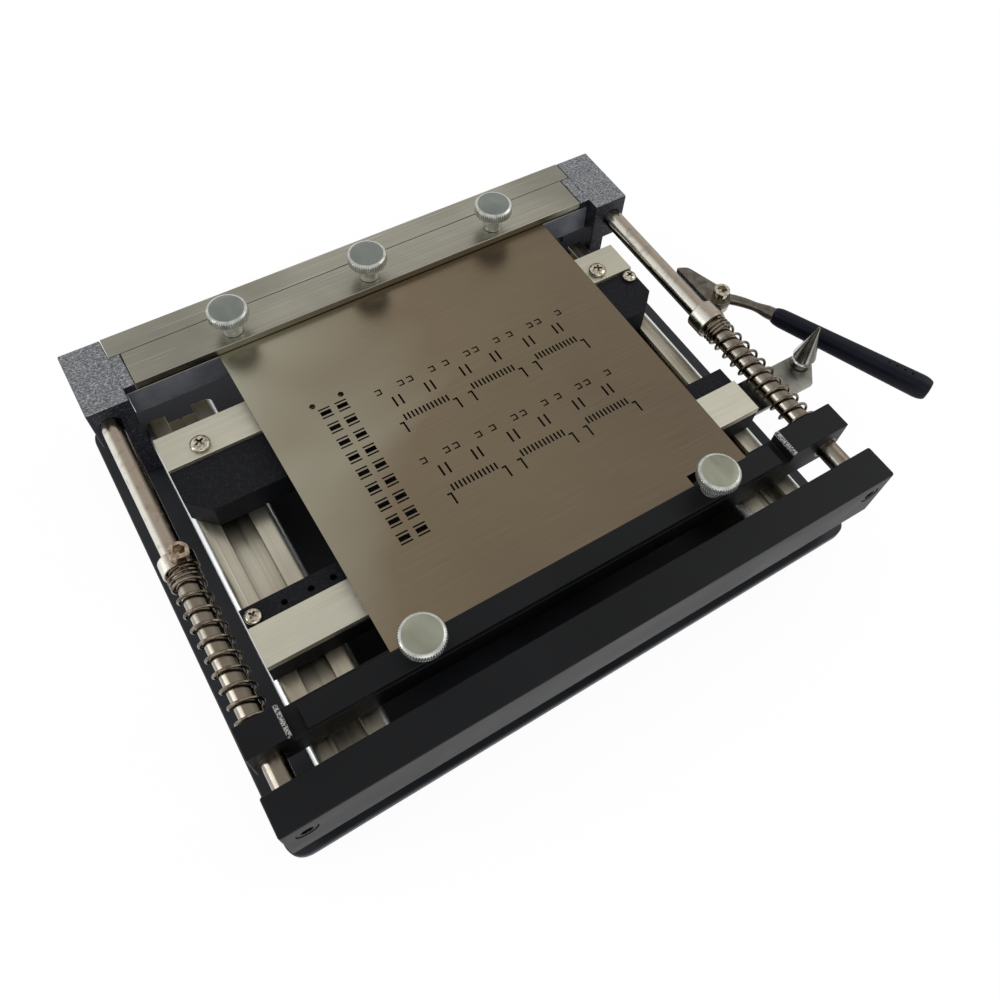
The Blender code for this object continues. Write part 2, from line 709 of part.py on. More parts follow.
def make_front_board_stop(press):
    """The front ledge and flat bar, which slide along the rails, with the lock plate and its cone post."""
    back = FRONT_BAR_BACK + BAR_DEPTH - FRONT_LEDGE_DEPTH
    carriage = pivot("front_stop_slide", (0.0, -FRONT_BAR_BACK, RAIL_TOP), press)
    seat = ledge("front_ledge", carriage, FRONT_BAR_BACK, back, FRONT_LEDGE_DEPTH, False)
    flat_bar("front_board_bar", carriage, FRONT_BAR_BACK)
    half = LEDGE_LENGTH / 2
    y = -FRONT_BAR_BACK + LEDGE_SCREW_HEAD / 2 + SIDE_GAP
    place = (-half + LEDGE_SCREW_INSET + LEDGE_SCREW_HEAD / 2, y, LEDGE_TOP)
    screw_bore(seat, place, LEDGE_SCREW_HEAD)
    pan_screw("front_ledge_screw", place, LEDGE_SCREW_HEAD, carriage)
    for share in LEDGE_HOLE_X_SHARES:
        x = half * share
        hole_floor = (x, y, LEDGE_TOP - LEDGE_HOLE_DEPTH)
        cut(seat, rod(hole_floor, (x, y, LEDGE_TOP + CUT_OVERRUN), LEDGE_HOLE_DIAMETER / 2))

    low = LEDGE_TOP - LOCK_DROP
    high = low + LOCK_THICK
    rear = -FRONT_BAR_BACK + LOCK_BEHIND_BAR
    front = rear - LOCK_WIDTH
    inner = half - LOCK_POCKET
    boss = LOCK_BOSS_RADIUS
    post = (half + POST_REACH, rear - boss)
    slant = math.radians(LOCK_SLANT)
    corner = post[0] + boss * math.cos(slant) + (post[1] + boss * math.sin(slant) - front) * math.tan(slant)
    outline = [(inner, rear), (inner, front), (corner, front)]
    for i in range(SMALL_STEPS + 1):
        angle = slant + (math.pi / 2 - slant) * i / SMALL_STEPS
        outline.append((post[0] + boss * math.cos(angle), post[1] + boss * math.sin(angle)))
    hole = circle(post, CONE_STUD_DIAMETER / 2 + RUN_GAP)
    add_piece("bar_lock_plate", prism([outline, hole], low, high), "zinc_plated", carriage)
    across = (inner - SEAT_GAP, half + CUT_OVERRUN)
    cut(seat, box(*across, front - SEAT_GAP, rear + SEAT_GAP, low - SEAT_GAP, high + SEAT_GAP))

    stud, nut = CONE_STUD_DIAMETER / 2, CONE_NUT_DIAMETER / 2
    foot = high + SEAT_GAP
    nut_top = low - SEAT_GAP
    nut_low = nut_top - CONE_NUT_HEIGHT
    rise = foot + CONE_COLLAR_HEIGHT
    profile = [
        (nut, nut_low),
        (nut, nut_top),
        (stud, nut_top),
        (stud, foot),
        (CONE_COLLAR_DIAMETER / 2, foot),
        (CONE_COLLAR_DIAMETER / 2, rise),
        (CONE_DIAMETER / 2 * CONE_ROOT_SHARE, rise),
        (CONE_DIAMETER / 2, rise + CONE_COLLAR_HEIGHT),
        (CONE_DIAMETER / 2 * CONE_TIP_SHARE, rise + CONE_HEIGHT),
    ]
    smooth(add_piece("cone_post", moved(turned(profile), (*post, 0.0)), "polished_steel", carriage))


def hinge_edge(angle):
    """A point of the round end that the brackets and the legs share, as (y, z)."""
    return (HINGE_Y + HINGE_RADIUS * math.cos(angle), HINGE_Z + HINGE_RADIUS * math.sin(angle))


def make_hinge(press):
    """Two brackets on the base plate with the pins on which the frame tilts."""
    outer = FRAME_WIDTH / 2 - LEG_INSET
    for side, name in ((-1, "left"), (1, "right")):
        low, high = outer + SIDE_GAP, outer + SIDE_GAP + BRACKET_THICK
        foot = BASE_TOP + SEAT_GAP
        outline = [(HINGE_Y - HINGE_RADIUS, foot), (HINGE_Y + HINGE_RADIUS, foot)]
        for i in range(SMALL_STEPS + 1):
            outline.append(hinge_edge(math.pi * i / SMALL_STEPS))
        bore = circle((HINGE_Y, HINGE_Z), HINGE_PIN_DIAMETER / 2 + RUN_GAP)
        ends = sorted((side * low, side * high))
        bracket = prism([outline, bore], ends[0], ends[1], "X")
        add_piece(f"hinge_bracket_{name}", bracket, "black_coated_plate", press)
        head = high + SEAT_GAP
        tip = outer - LEG_THICK
        profile = [
            (HINGE_PIN_DIAMETER / 2, 0.0),
            (HINGE_PIN_DIAMETER / 2, head - tip),
            (HINGE_PIN_HEAD / 2, head - tip),
            (HINGE_PIN_HEAD / 2, head - tip + HINGE_PIN_HEAD_THICK),
        ]
        pin = moved(turned(profile), (side * tip, HINGE_Y, HINGE_Z), (side, 0.0, 0.0))
        smooth(add_piece(f"hinge_pin_{name}", pin, "polished_steel", press, (0.0, HINGE_Y, HINGE_Z)))


def make_end_blocks(frame):
    """The two rear end blocks: a cap that holds the shaft, over a leg that turns on the hinge pin."""
    half = FRAME_WIDTH / 2
    bottom = HINGE_Z - HINGE_RADIUS
    for side, name in ((-1, "left"), (1, "right")):
        ends = sorted((side * (half - LEG_INSET - LEG_THICK), side * (half - LEG_INSET)))
        outline = [(-BLOCK_DEPTH, FRAME_TOP - BLOCK_EDGE), (-BLOCK_DEPTH, bottom)]
        for i in range(SMALL_STEPS // 2 + 1):
            outline.append(hinge_edge(math.pi * i / SMALL_STEPS - math.pi / 2))
        outline.append((0.0, FRAME_TOP - BLOCK_EDGE))
        bore = circle((HINGE_Y, HINGE_Z), HINGE_PIN_DIAMETER / 2 + RUN_GAP)
        leg = prism([outline, bore], ends[0], ends[1], "X")
        cap_ends = sorted((side * (half - BLOCK_WIDTH), side * half))
        block = add_piece(
            f"rear_block_{name}",
            box(*cap_ends, -BLOCK_DEPTH, 0.0, FRAME_TOP - CAP_HEIGHT, FRAME_TOP),
            "textured_black_plastic",
            frame,
        )
        soften(block, BLOCK_EDGE)
        join(block, leg)
        root = half - BLOCK_WIDTH + BLOCK_EDGE
        cheek_ends = sorted((side * root, side * (half - BLOCK_WIDTH - CHEEK_REACH)))
        cheek_rear = -TUBE_STEP_BACK - SEAT_GAP
        join(block, box(*cheek_ends, -TUBE_DEPTH, cheek_rear, CLAMP_FACE + SEAT_GAP, FRAME_TOP - BAR_EDGE))
        x = side * SHAFT_X
        mouth = (x, -BLOCK_DEPTH - CUT_OVERRUN, SHAFT_Z)
        cut(block, rod(mouth, (x, -SHAFT_REAR_WALL, SHAFT_Z), SHAFT_RADIUS + SEAT_GAP))


def make_rear_clamp(frame):
    """The rear tube with a step for the stencil, the clamp strip above it, and three thumbscrews."""
    reach = FRAME_WIDTH / 2 - BLOCK_WIDTH - SEAT_GAP
    low = FRAME_TOP - TUBE_HEIGHT
    step = CLAMP_FACE
    outline = [(-TUBE_DEPTH, low), (0.0, low), (0.0, FRAME_TOP)]
    outline += [(-TUBE_STEP_BACK, FRAME_TOP), (-TUBE_STEP_BACK, step), (-TUBE_DEPTH, step)]
    hollow = rectangle(-TUBE_DEPTH + TUBE_WALL, -TUBE_WALL, low + TUBE_WALL, step - TUBE_WALL)
    tube = add_piece("rear_tube", prism([outline, hollow], -reach, reach, "X"), "milled_aluminium", frame)
    clamp = pivot("rear_clamp_lift", (0.0, -REAR_KNOB_BACK, STRIP_BOTTOM), frame)
    strip_reach = reach - STRIP_END_INSET
    rear = -TUBE_STEP_BACK - SEAT_GAP
    shank = KNOB_SHANK_DIAMETER / 2 + RUN_GAP
    places = [(i * KNOB_SPACING, -REAR_KNOB_BACK) for i in (-1, 0, 1)]
    loops = [rectangle(-strip_reach, strip_reach, rear - STRIP_DEPTH, rear)]
    loops += [circle(place, shank) for place in places]
    add_piece("rear_clamp_strip", prism(loops, STRIP_BOTTOM, FRAME_TOP), "milled_aluminium", clamp)
    for name, (x, y) in zip(("left", "middle", "right"), places):
        bore_low = step - TUBE_WALL - CUT_OVERRUN
        cut(tube, rod((x, y, bore_low), (x, y, step + CUT_OVERRUN), shank))
        thumbscrew(f"rear_thumbscrew_{name}", (x, y, FRAME_TOP), clamp)


def thumbscrew(name, place, parent):
    """A knurled thumbscrew whose neck stands on this place; it turns about its own axis."""
    x, y, z = place
    spin = pivot(f"{name}_axis", (x, y, z), parent)
    low = z + SEAT_GAP
    head_low = low + KNOB_NECK
    top = head_low + KNOB_HEAD
    radius = KNOB_DIAMETER / 2
    head = [
        (radius - KNOB_EDGE, head_low),
        (radius, head_low + KNOB_EDGE, 1),
        (radius, top - KNOB_EDGE, 1),
        (radius - KNOB_EDGE, top),
    ]
    stem = [
        (KNOB_SHANK_DIAMETER / 2, low - KNOB_SHANK),
        (KNOB_SHANK_DIAMETER / 2, low),
        (KNOB_NECK_DIAMETER / 2, low),
        (KNOB_NECK_DIAMETER / 2, head_low + KNOB_HEAD / 2),
    ]
    mesh = moved(turned(head, 2 * KNOB_TEETH, teeth=KNOB_TEETH, knurl=KNOB_KNURL_DEPTH), (x, y, 0.0))
    knob = add_piece(name, mesh, "zinc_plated", spin)
    join(knob, moved(turned(stem, SMALL_STEPS), (x, y, 0.0)))
    return smooth(knob, KNURL_SHARP_ANGLE)


def make_stencil(frame):
    """The thin sheet, with its cut pads, and notches round the front thumbscrews."""
    left, right, rear, front = -SHEET_LEFT, SHEET_RIGHT, -SHEET_REAR, -SHEET_FRONT
    outline = [(left, rear), (left, front)]
    for x in (-KNOB_SPACING, KNOB_SPACING):
        outline += [(x - NOTCH_WIDTH / 2, front), (x - NOTCH_WIDTH / 2, -NOTCH_END)]
        outline += [(x + NOTCH_WIDTH / 2, -NOTCH_END), (x + NOTCH_WIDTH / 2, front)]
    outline += [(right, front), (right, rear)]
    sheet = prism([outline, *stencil_pads()], SHEET_BOTTOM, SHEET_TOP)
    add_piece("stencil", sheet, "stencil_steel", frame)


def stencil_pads():
    """The openings: two sight marks, two columns of pads, and pin rows between angle-shaped tabs."""
    left = -SHEET_LEFT
    strip_front = -TUBE_STEP_BACK - SEAT_GAP - STRIP_DEPTH
    holes = []
    for i in range(2):
        mark = (left + MARK_LEFT + i * MARK_SPACING, strip_front - MARK_FORWARD)
        holes.append(circle(mark, MARK_DIAMETER / 2))
        x = left + COLUMN_LEFT + i * COLUMN_SPACING
        first = strip_front - COLUMN_FORWARD
        holes += [pad(x, first - j * COLUMN_PITCH, PAD_WIDTH, PAD_LENGTH) for j in range(COLUMN_PADS)]
    for i in range(UNITS_ACROSS):
        for j in range(UNITS_DEEP):
            x = left + UNIT_LEFT + i * UNIT_SPACING_X
            y = strip_front - UNIT_FORWARD - j * UNIT_SPACING_Y
            half_row = (PIN_COUNT - 1) / 2
            pins = [x + (k - half_row) * PIN_PITCH for k in range(PIN_COUNT)]
            holes += [pad(pin, y, PIN_WIDTH, PIN_LENGTH) for pin in pins]
            holes += [tab(x + side * TAB_REACH, y - TAB_DROP) for side in (-1, 1)]
    return holes


def pad(x, y, width, length):
    return rectangle(x - width / 2, x + width / 2, y - length / 2, y + length / 2)


def tab(x, top):
    """A narrow angle-shaped opening: a short bar across the top and a long one down its right side."""
    low, high = x - TAB_WIDTH / 2, x + TAB_WIDTH / 2
    inner, bottom = high - TAB_LINE, top - TAB_LENGTH
    bar_bottom = top - TAB_LINE
    return [(low, top), (low, bar_bottom), (inner, bar_bottom), (inner, bottom), (high, bottom), (high, top)]


def make_shafts(frame):
    """The two round shafts between the end blocks and the front beam."""
    rear = -SHAFT_REAR_WALL - SEAT_GAP
    front = -BEAM_BACK - BEAM_BORE + SEAT_GAP
    for side, name in ((-1, "left"), (1, "right")):
        x = side * SHAFT_X
        mesh = rod((x, front, SHAFT_Z), (x, rear, SHAFT_Z), SHAFT_RADIUS, ROUND_STEPS)
        shaft = add_piece(f"shaft_{name}", mesh, "polished_steel", frame)
        depth = front + SCREW_SHANK_LENGTH
        bore = END_SCREW_SHANK / 2 + RUN_GAP
        cut(shaft, rod((x, front - CUT_OVERRUN, SHAFT_Z), (x, depth, SHAFT_Z), bore))
        smooth(shaft)


def collar_mesh(x, back, width):
    """A stop collar: a chamfered ring that fits on a shaft."""
    inner, outer = SHAFT_RADIUS + SEAT_GAP, COLLAR_DIAMETER / 2
    profile = [
        (inner, 0.0),
        (outer - COLLAR_CHAMFER, 0.0),
        (outer, COLLAR_CHAMFER),
        (outer, width - COLLAR_CHAMFER),
        (outer - COLLAR_CHAMFER, width),
        (inner, width),
    ]
    return moved(turned(profile, ring=True), (x, -back, SHAFT_Z), (0.0, -1.0, 0.0))


def cap_screw(name, place, direction, shank_length, parent):
    """A socket-head screw whose head stands on this place and points in this direction."""
    radius, shank = CAP_SCREW_HEAD / 2, CAP_SCREW_SHANK / 2
    profile = [
        (shank, -shank_length),
        (shank, SEAT_GAP),
        (radius, SEAT_GAP),
        (radius, CAP_SCREW_HEIGHT - KNOB_EDGE),
        (radius - KNOB_EDGE, CAP_SCREW_HEIGHT),
    ]
    mesh = moved(turned(profile, SMALL_STEPS + SMALL_STEPS // 2), place, direction)
    screw = add_piece(name, mesh, "zinc_plated", parent)
    socket = radius * CAP_SCREW_SOCKET_SHARE
    recess = [(socket, CAP_SCREW_HEIGHT / 2), (socket, CAP_SCREW_HEIGHT + CUT_OVERRUN)]
    cut(screw, moved(turned(recess, HEX_SIDES), place, direction))
    return smooth(screw)


def make_collars(frame):
    """Left collar with its clamp screw; right collar with a lug that carries the side lever."""
    ring = collar_mesh(-SHAFT_X, LEFT_COLLAR_BACK, LEFT_COLLAR_WIDTH)
    left = add_piece("collar_left", ring, "polished_steel", frame)
    tilt = math.radians(COLLAR_SCREW_TILT)
    direction = Vector((math.sin(tilt), 0.0, math.cos(tilt)))
    middle = Vector((-SHAFT_X, -LEFT_COLLAR_BACK - LEFT_COLLAR_WIDTH / 2, SHAFT_Z))
    reach = COLLAR_DIAMETER / 2 + SEAT_GAP
    bore_end = middle + direction * (SHAFT_RADIUS - SEAT_GAP)
    cut(left, rod(bore_end, middle + direction * (reach + CUT_OVERRUN), CAP_SCREW_SHANK / 2 + RUN_GAP))
    smooth(left)
    shank = COLLAR_DIAMETER / 2 - SHAFT_RADIUS - SEAT_GAP
    cap_screw("collar_screw_left", middle + direction * reach, direction, shank, frame)

    ring = collar_mesh(SHAFT_X, RIGHT_COLLAR_BACK, RIGHT_COLLAR_WIDTH)
    right = add_piece("collar_right", ring, "polished_steel", frame)
    x, y, z = lever_pivot_place()
    lug_top = z - SEAT_GAP
    lug_low = lug_top - LUG_THICK
    root_x = SHAFT_X + SHAFT_RADIUS * LUG_ROOT_SHARE
    front = -RIGHT_COLLAR_BACK - RIGHT_COLLAR_WIDTH + COLLAR_CHAMFER
    rear = -RIGHT_COLLAR_BACK - COLLAR_CHAMFER
    outline = [(root_x, rear), (root_x, front)]
    for i in range(SMALL_STEPS // 2 + 1):
        angle = math.radians(LUG_ARC_START + LUG_ARC_SWEEP * i / (SMALL_STEPS // 2))
        outline.append((x + LUG_RADIUS * math.cos(angle), y + LUG_RADIUS * math.sin(angle)))
    hole = circle((x, y), CAP_SCREW_SHANK / 2 + RUN_GAP)
    join(right, prism([outline, hole], lug_low, lug_top))
    smooth(right)


def lever_pivot_place():
    """Where the side lever turns: beside the right collar, at the underside of the lever."""
    x = SHAFT_X + LEVER_OUT
    y = -RIGHT_COLLAR_BACK + LEVER_BEHIND_COLLAR
    z = SHAFT_Z - LEVER_DROP - LEVER_THICK
    return (x, y, z)


def make_lever(frame):
    """The side lever: a flat leaf beside the shaft, an eye, an arm and a soft grip, on a socket screw."""
    x, y, z = lever_pivot_place()
    swing = pivot("lever_swing", (x, y, z), frame)
    top = z + LEVER_THICK
    edge = SHAFT_X + SHAFT_RADIUS + LEAF_GAP
    elbow = Vector((x + ARM_ELBOW_OUT, y - ARM_ELBOW_FORWARD, 0.0))
    start = Vector((x + GRIP_START_OUT, y - GRIP_START_FORWARD, 0.0))
    angle = math.radians(GRIP_ANGLE)
    along = Vector((math.cos(angle), -math.sin(angle), 0.0))
    across = Vector((math.sin(angle), math.cos(angle), 0.0))
    half = ARM_WIDTH / 2
    eye = LEVER_EYE
    diagonal = math.sqrt(0.5)
    outline = [
        (edge, y + LEAF_CLEAR),
        (edge, y + LEAF_BACK),
        (edge + LEAF_TIP_WIDTH, y + LEAF_BACK - LEAF_TIP_WIDTH / 2),
        (x + eye * diagonal, y + eye * diagonal),
        (x + eye, y),
        (elbow.x + half * diagonal, elbow.y + half * diagonal),
        (start.x + across.x * half, start.y + across.y * half),
        (start.x - across.x * half, start.y - across.y * half),
        (elbow.x - half * diagonal, elbow.y - half * diagonal),
        (x, y - eye),
        (x - eye * diagonal, y - eye * diagonal),
    ]
    hole = circle((x, y), CAP_SCREW_SHANK / 2 + RUN_GAP)
    lever = add_piece("lever_arm", prism([outline, hole], z, top), "polished_steel", swing)
    middle = z + LEVER_THICK / 2
    tang_start = Vector((start.x, start.y, middle)) - along * (LEVER_EYE / 2)
    tang_end = Vector((start.x, start.y, middle)) + along * (GRIP_SOCKET - SEAT_GAP)
    join(lever, rod(tang_start, tang_end, TANG_DIAMETER / 2))

    radius, arm_radius = GRIP_DIAMETER / 2, GRIP_ARM_DIAMETER / 2
    first = Vector((start.x, start.y, middle)) + along * SEAT_GAP
    profile = [
        (arm_radius * GRIP_END_SHARE, 0.0),
        (arm_radius, GRIP_NOSE),
        (radius, GRIP_LENGTH - GRIP_NOSE),
        (radius * GRIP_CROWN_SHARES[0], GRIP_LENGTH - GRIP_NOSE * GRIP_CROWN_SHARES[1]),
        (radius * GRIP_TIP_SHARE, GRIP_LENGTH),
    ]
    grip = add_piece("lever_grip", moved(turned(profile), first, along), "grip_vinyl", swing)
    bore_start = first - along * CUT_OVERRUN
    cut(grip, rod(bore_start, first + along * GRIP_SOCKET, TANG_DIAMETER / 2 + SEAT_GAP))
    smooth(grip)
    shank = LEVER_THICK + SEAT_GAP + LUG_THICK
    cap_screw("lever_pivot_screw", (x, y, top), (0.0, 0.0, 1.0), shank, frame)


def spring_path(x, start, end, curls):
    """Points of one spring along Y: its curls are close at each end, which runs out straight."""
    radius = (SPRING_DIAMETER - SPRING_WIRE) / 2
    close = SPRING_WIRE + SPRING_COIL_GAP
    first = start - SPRING_WIRE
    last = end + SPRING_WIRE
    open_pitch = (first - last - 2 * close) / (curls - 2)
    points = [Vector((x, start, SHAFT_Z + radius))]
    for i in range(curls * CURL_POINTS + 1):
        turns = i / CURL_POINTS
        if turns <= 1:
            along = turns * close
        elif turns <= curls - 1:
            along = close + (turns - 1) * open_pitch
        else:
            along = close + (curls - 2) * open_pitch + (turns - curls + 1) * close
        angle = 2 * math.pi * turns
        across, up = radius * math.sin(angle), radius * math.cos(angle)
        points.append(Vector((x + across, first - along, SHAFT_Z + up)))
    points.append(Vector((x, end, SHAFT_Z + radius)))
    return points


def least_gap(points):
    """The least distance between the surfaces of wire stretches that lie half a curl or more apart."""
    least = math.inf
    for i, point in enumerate(points):
        for other in points[i + CURL_POINTS // 2 :]:
            least = min(least, (point - other).length - SPRING_WIRE)
    return least


def make_springs(frame):
    """The two compression springs between the collars and the sliding beam."""
    end = -SLIDER_BACK + SEAT_GAP
    springs = (
        (-1, "left", LEFT_CURLS, LEFT_SPRING_LENGTH),
        (1, "right", RIGHT_CURLS, RIGHT_SPRING_LENGTH),
    )
    for side, name, curls, length in springs:
        start = -SLIDER_BACK + length - SEAT_GAP
        points = spring_path(side * SHAFT_X, start, end, curls)
        print(f"spring_{name}: {curls} curls, least gap to itself {least_gap(points) * 1000:.2f} mm")
        curve = bpy.data.curves.new(f"spring_{name}", "CURVE")
        curve.dimensions = "3D"
        curve.bevel_depth = SPRING_WIRE / 2
        curve.bevel_resolution = 1
        curve.use_fill_caps = True
        spline = curve.splines.new("POLY")
        spline.points.add(len(points) - 1)
        base = carried_by(frame)
        for point, place in zip(spline.points, points):
            point.co = (*(place - base), 1.0)
        spring = bpy.data.objects.new(f"spring_{name}", curve)
        bpy.context.scene.collection.objects.link(spring)
        spring.parent = frame
        curve.materials.append(finish("spring_steel"))


def make_slider(frame):
    """The sliding beam with an ear on each shaft, its bushes, the front clamp bar and two thumbscrews."""
    slide = pivot("tension_slide", (0.0, -SLIDER_BACK, SHAFT_Z), frame)
    half = FRAME_WIDTH / 2
    ear_top = FRAME_TOP + EAR_RISE
    outline = [(-half, SLIDER_BOTTOM), (half, SLIDER_BOTTOM), (half, ear_top)]
    outline += [(RIGHT_EAR_INNER, ear_top), (RIGHT_EAR_INNER, CLAMP_FACE)]
    outline += [(LEFT_EAR_INNER, CLAMP_FACE), (LEFT_EAR_INNER, ear_top), (-half, ear_top)]
    front = -SLIDER_BACK - SLIDER_DEPTH
    bore = SHAFT_RADIUS + RUN_GAP + BUSH_WALL + SEAT_GAP
    beam = add_piece("slide_beam", prism([outline], front, -SLIDER_BACK, "Y"), "black_anodised", slide)
    soften(beam, BAR_EDGE, 1)
    inner = SHAFT_RADIUS + RUN_GAP
    for side, name in ((-1, "left"), (1, "right")):
        x = side * SHAFT_X
        ends = ((x, front - CUT_OVERRUN, SHAFT_Z), (x, -SLIDER_BACK + CUT_OVERRUN, SHAFT_Z))
        cut(beam, rod(*ends, bore, ROUND_STEPS))
        profile = rectangle(inner, inner + BUSH_WALL, 0.0, SLIDER_DEPTH)
        bush = moved(turned(profile, ring=True), (x, -SLIDER_BACK, SHAFT_Z), (0.0, -1.0, 0.0))
        smooth(add_piece(f"slide_bush_{name}", bush, "bronze", slide))

    clamp = pivot("front_clamp_lift", (0.0, -FRONT_KNOB_BACK, STRIP_BOTTOM), slide)
    ends = (LEFT_EAR_INNER + CLAMP_END_GAP, RIGHT_EAR_INNER - CLAMP_END_GAP)
    shank = KNOB_SHANK_DIAMETER / 2 + RUN_GAP
    places = [(-KNOB_SPACING, -FRONT_KNOB_BACK), (KNOB_SPACING, -FRONT_KNOB_BACK)]
    loops = [rectangle(*ends, -CLAMP_BACK - CLAMP_DEPTH, -CLAMP_BACK)]
    loops += [circle(place, shank) for place in places]
    add_piece("front_clamp_bar", prism(loops, STRIP_BOTTOM, FRAME_TOP), "black_anodised", clamp)
    for name, (x, y) in zip(("left", "right"), places):
        low = FRAME_TOP - KNOB_SHANK - CUT_OVERRUN
        cut(beam, rod((x, y, low), (x, y, CLAMP_FACE + CUT_OVERRUN), shank))
        thumbscrew(f"front_thumbscrew_{name}", (x, y, FRAME_TOP), clamp)


def make_front_beam(frame):
    """The front beam, which takes the shaft ends, and the screws that hold them."""
    half = BEAM_WIDTH / 2
    front = -BEAM_BACK - BEAM_DEPTH
    beam = add_piece(
        "front_beam", box(-half, half, front, -BEAM_BACK, BEAM_BOTTOM, FRAME_TOP), "black_anodised", frame
    )
    soften(beam, BEAM_EDGE)
    seat = front + END_SCREW_HEAD_HEIGHT + SEAT_GAP
    shaft_end = -BEAM_BACK - BEAM_BORE
    for side, name in ((-1, "left"), (1, "right")):
        x = side * SHAFT_X
        rear = -BEAM_BACK + CUT_OVERRUN
        cut(beam, rod((x, shaft_end, SHAFT_Z), (x, rear, SHAFT_Z), SHAFT_RADIUS + SEAT_GAP, ROUND_STEPS))
        outside = (x, front - CUT_OVERRUN, SHAFT_Z)
        head, shank = END_SCREW_HEAD / 2, END_SCREW_SHANK / 2
        cut(beam, rod(outside, (x, shaft_end + CUT_OVERRUN, SHAFT_Z), shank + RUN_GAP))
        cut(beam, rod(outside, (x, seat, SHAFT_Z), head + RUN_GAP, ROUND_STEPS))
        length = SCREW_SHANK_LENGTH + seat - shaft_end - CUT_OVERRUN
        profile = [(shank, -length), (shank, SEAT_GAP), (head, SEAT_GAP), (head, END_SCREW_HEAD_HEIGHT)]
        screw = moved(turned(profile, SMALL_STEPS), (x, seat, SHAFT_Z), (0.0, -1.0, 0.0))
        piece = add_piece(f"shaft_end_screw_{name}", screw, "black_anodised", frame)
        socket = head * CAP_SCREW_SOCKET_SHARE
        depths = (END_SCREW_HEAD_HEIGHT / 2, END_SCREW_HEAD_HEIGHT + CUT_OVERRUN)
        recess = turned([(socket, depth) for depth in depths], HEX_SIDES)
        cut(piece, moved(recess, (x, seat, SHAFT_Z), (0.0, -1.0, 0.0)))
        smooth(piece)


def centre_on_origin(press):
    """Moves the whole press so that its box stands centred on the origin."""
    bpy.context.view_layer.update()
    graph = bpy.context.evaluated_depsgraph_get()
    places = []
    for obj in bpy.data.objects:
        if obj.type in {"MESH", "CURVE"} and not obj.hide_render:
            seen = obj.evaluated_get(graph)
            mesh = seen.to_mesh()
            places += [seen.matrix_world @ vert.co for vert in mesh.vertices]
            seen.to_mesh_clear()
    for axis in (0, 1):
        low = min(place[axis] for place in places)
        high = max(place[axis] for place in places)
        press.location[axis] -= (low + high) / 2
    bpy.context.view_layer.update()
    print(f"press datum at x {press.location.x:.5f}, y {press.location.y:.5f}")


def main():
    clear_scene()
    press = pivot("press", (0.0, 0.0, 0.0))
    make_base(press)
    make_rails(press)
    make_rear_board_stop(press)
    make_front_board_stop(press)
    make_hinge(press)
    frame = pivot("frame_hinge", (0.0, HINGE_Y, HINGE_Z), press)
    make_end_blocks(frame)
    make_rear_clamp(frame)
    make_stencil(frame)
    make_shafts(frame)
    make_collars(frame)
    make_lever(frame)
    make_springs(frame)
    make_slider(frame)
    make_front_beam(frame)
    for tool in [obj for obj in bpy.data.objects if obj.display_type == "WIRE" and obj.parent is None]:
        tool.parent = press
    centre_on_origin(press)


main()
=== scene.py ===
"""The looks of a benchtop stencil printing press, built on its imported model.

X runs from the press's left end to its right end, Y runs to the rear and Z is up. All sizes are in metres.
Each sub-assembly is a class with its own sizes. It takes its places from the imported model's boxes, builds its
meshes in world coordinates, and dresses them in finishes whose patterns are fixed to the pieces.
"""

import logging
import math
from dataclasses import dataclass
from enum import Enum
from typing import Callable, Sequence

import bmesh
import bpy
from mathutils import Euler, Matrix, Vector


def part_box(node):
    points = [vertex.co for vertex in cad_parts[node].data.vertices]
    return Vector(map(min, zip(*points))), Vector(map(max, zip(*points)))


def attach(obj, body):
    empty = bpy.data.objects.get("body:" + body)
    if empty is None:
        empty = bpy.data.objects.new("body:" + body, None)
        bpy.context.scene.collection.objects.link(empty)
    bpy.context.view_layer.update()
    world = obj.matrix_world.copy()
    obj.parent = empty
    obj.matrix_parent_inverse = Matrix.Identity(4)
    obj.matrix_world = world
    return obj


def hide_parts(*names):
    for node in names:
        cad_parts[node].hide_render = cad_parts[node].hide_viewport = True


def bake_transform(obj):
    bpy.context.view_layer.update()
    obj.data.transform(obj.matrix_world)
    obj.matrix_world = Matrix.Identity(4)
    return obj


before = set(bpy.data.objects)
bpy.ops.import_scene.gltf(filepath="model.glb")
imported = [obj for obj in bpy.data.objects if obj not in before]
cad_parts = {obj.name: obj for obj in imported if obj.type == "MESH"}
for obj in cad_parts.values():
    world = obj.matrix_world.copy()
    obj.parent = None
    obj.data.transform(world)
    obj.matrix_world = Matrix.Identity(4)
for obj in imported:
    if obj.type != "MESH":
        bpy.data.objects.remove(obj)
LOG = logging.getLogger("press")

Point = tuple[float, float]
Loop = list[Point]
Colour = tuple[float, float, float, float]

ROUND_STEPS = 72
SMALL_STEPS = 40
HEX_SIDES = 6
FILLET_STEPS = 5
EDGE_STEPS = 2
OVERRUN = 0.0010
SMOOTH_ANGLE = math.radians(38.0)
BEVEL_ANGLE = math.radians(30.0)
WELD_DISTANCE = 2e-6
FLAT_ANGLE = math.radians(0.5)
DISPLAY_GAMMA = 2.4


class Axis(Enum):
    """The world axis that a solid is drawn out along, or that a pattern runs along."""

    X = 0
    Y = 1
    Z = 2


def seen(red: int, green: int, blue: int) -> Colour:
    """Turns a colour as it shows on a screen into the linear values that a shader takes.

    Args:
        red: Red from 0 to 255.
        green: Green from 0 to 255.
        blue: Blue from 0 to 255.

    Returns:
        The linear colour with full opacity.
    """
    linear = []
    for value in (red, green, blue):
        share = value / 255
        linear.append(share / 12.92 if share <= 0.04045 else ((share + 0.055) / 1.055) ** DISPLAY_GAMMA)
    return (linear[0], linear[1], linear[2], 1.0)


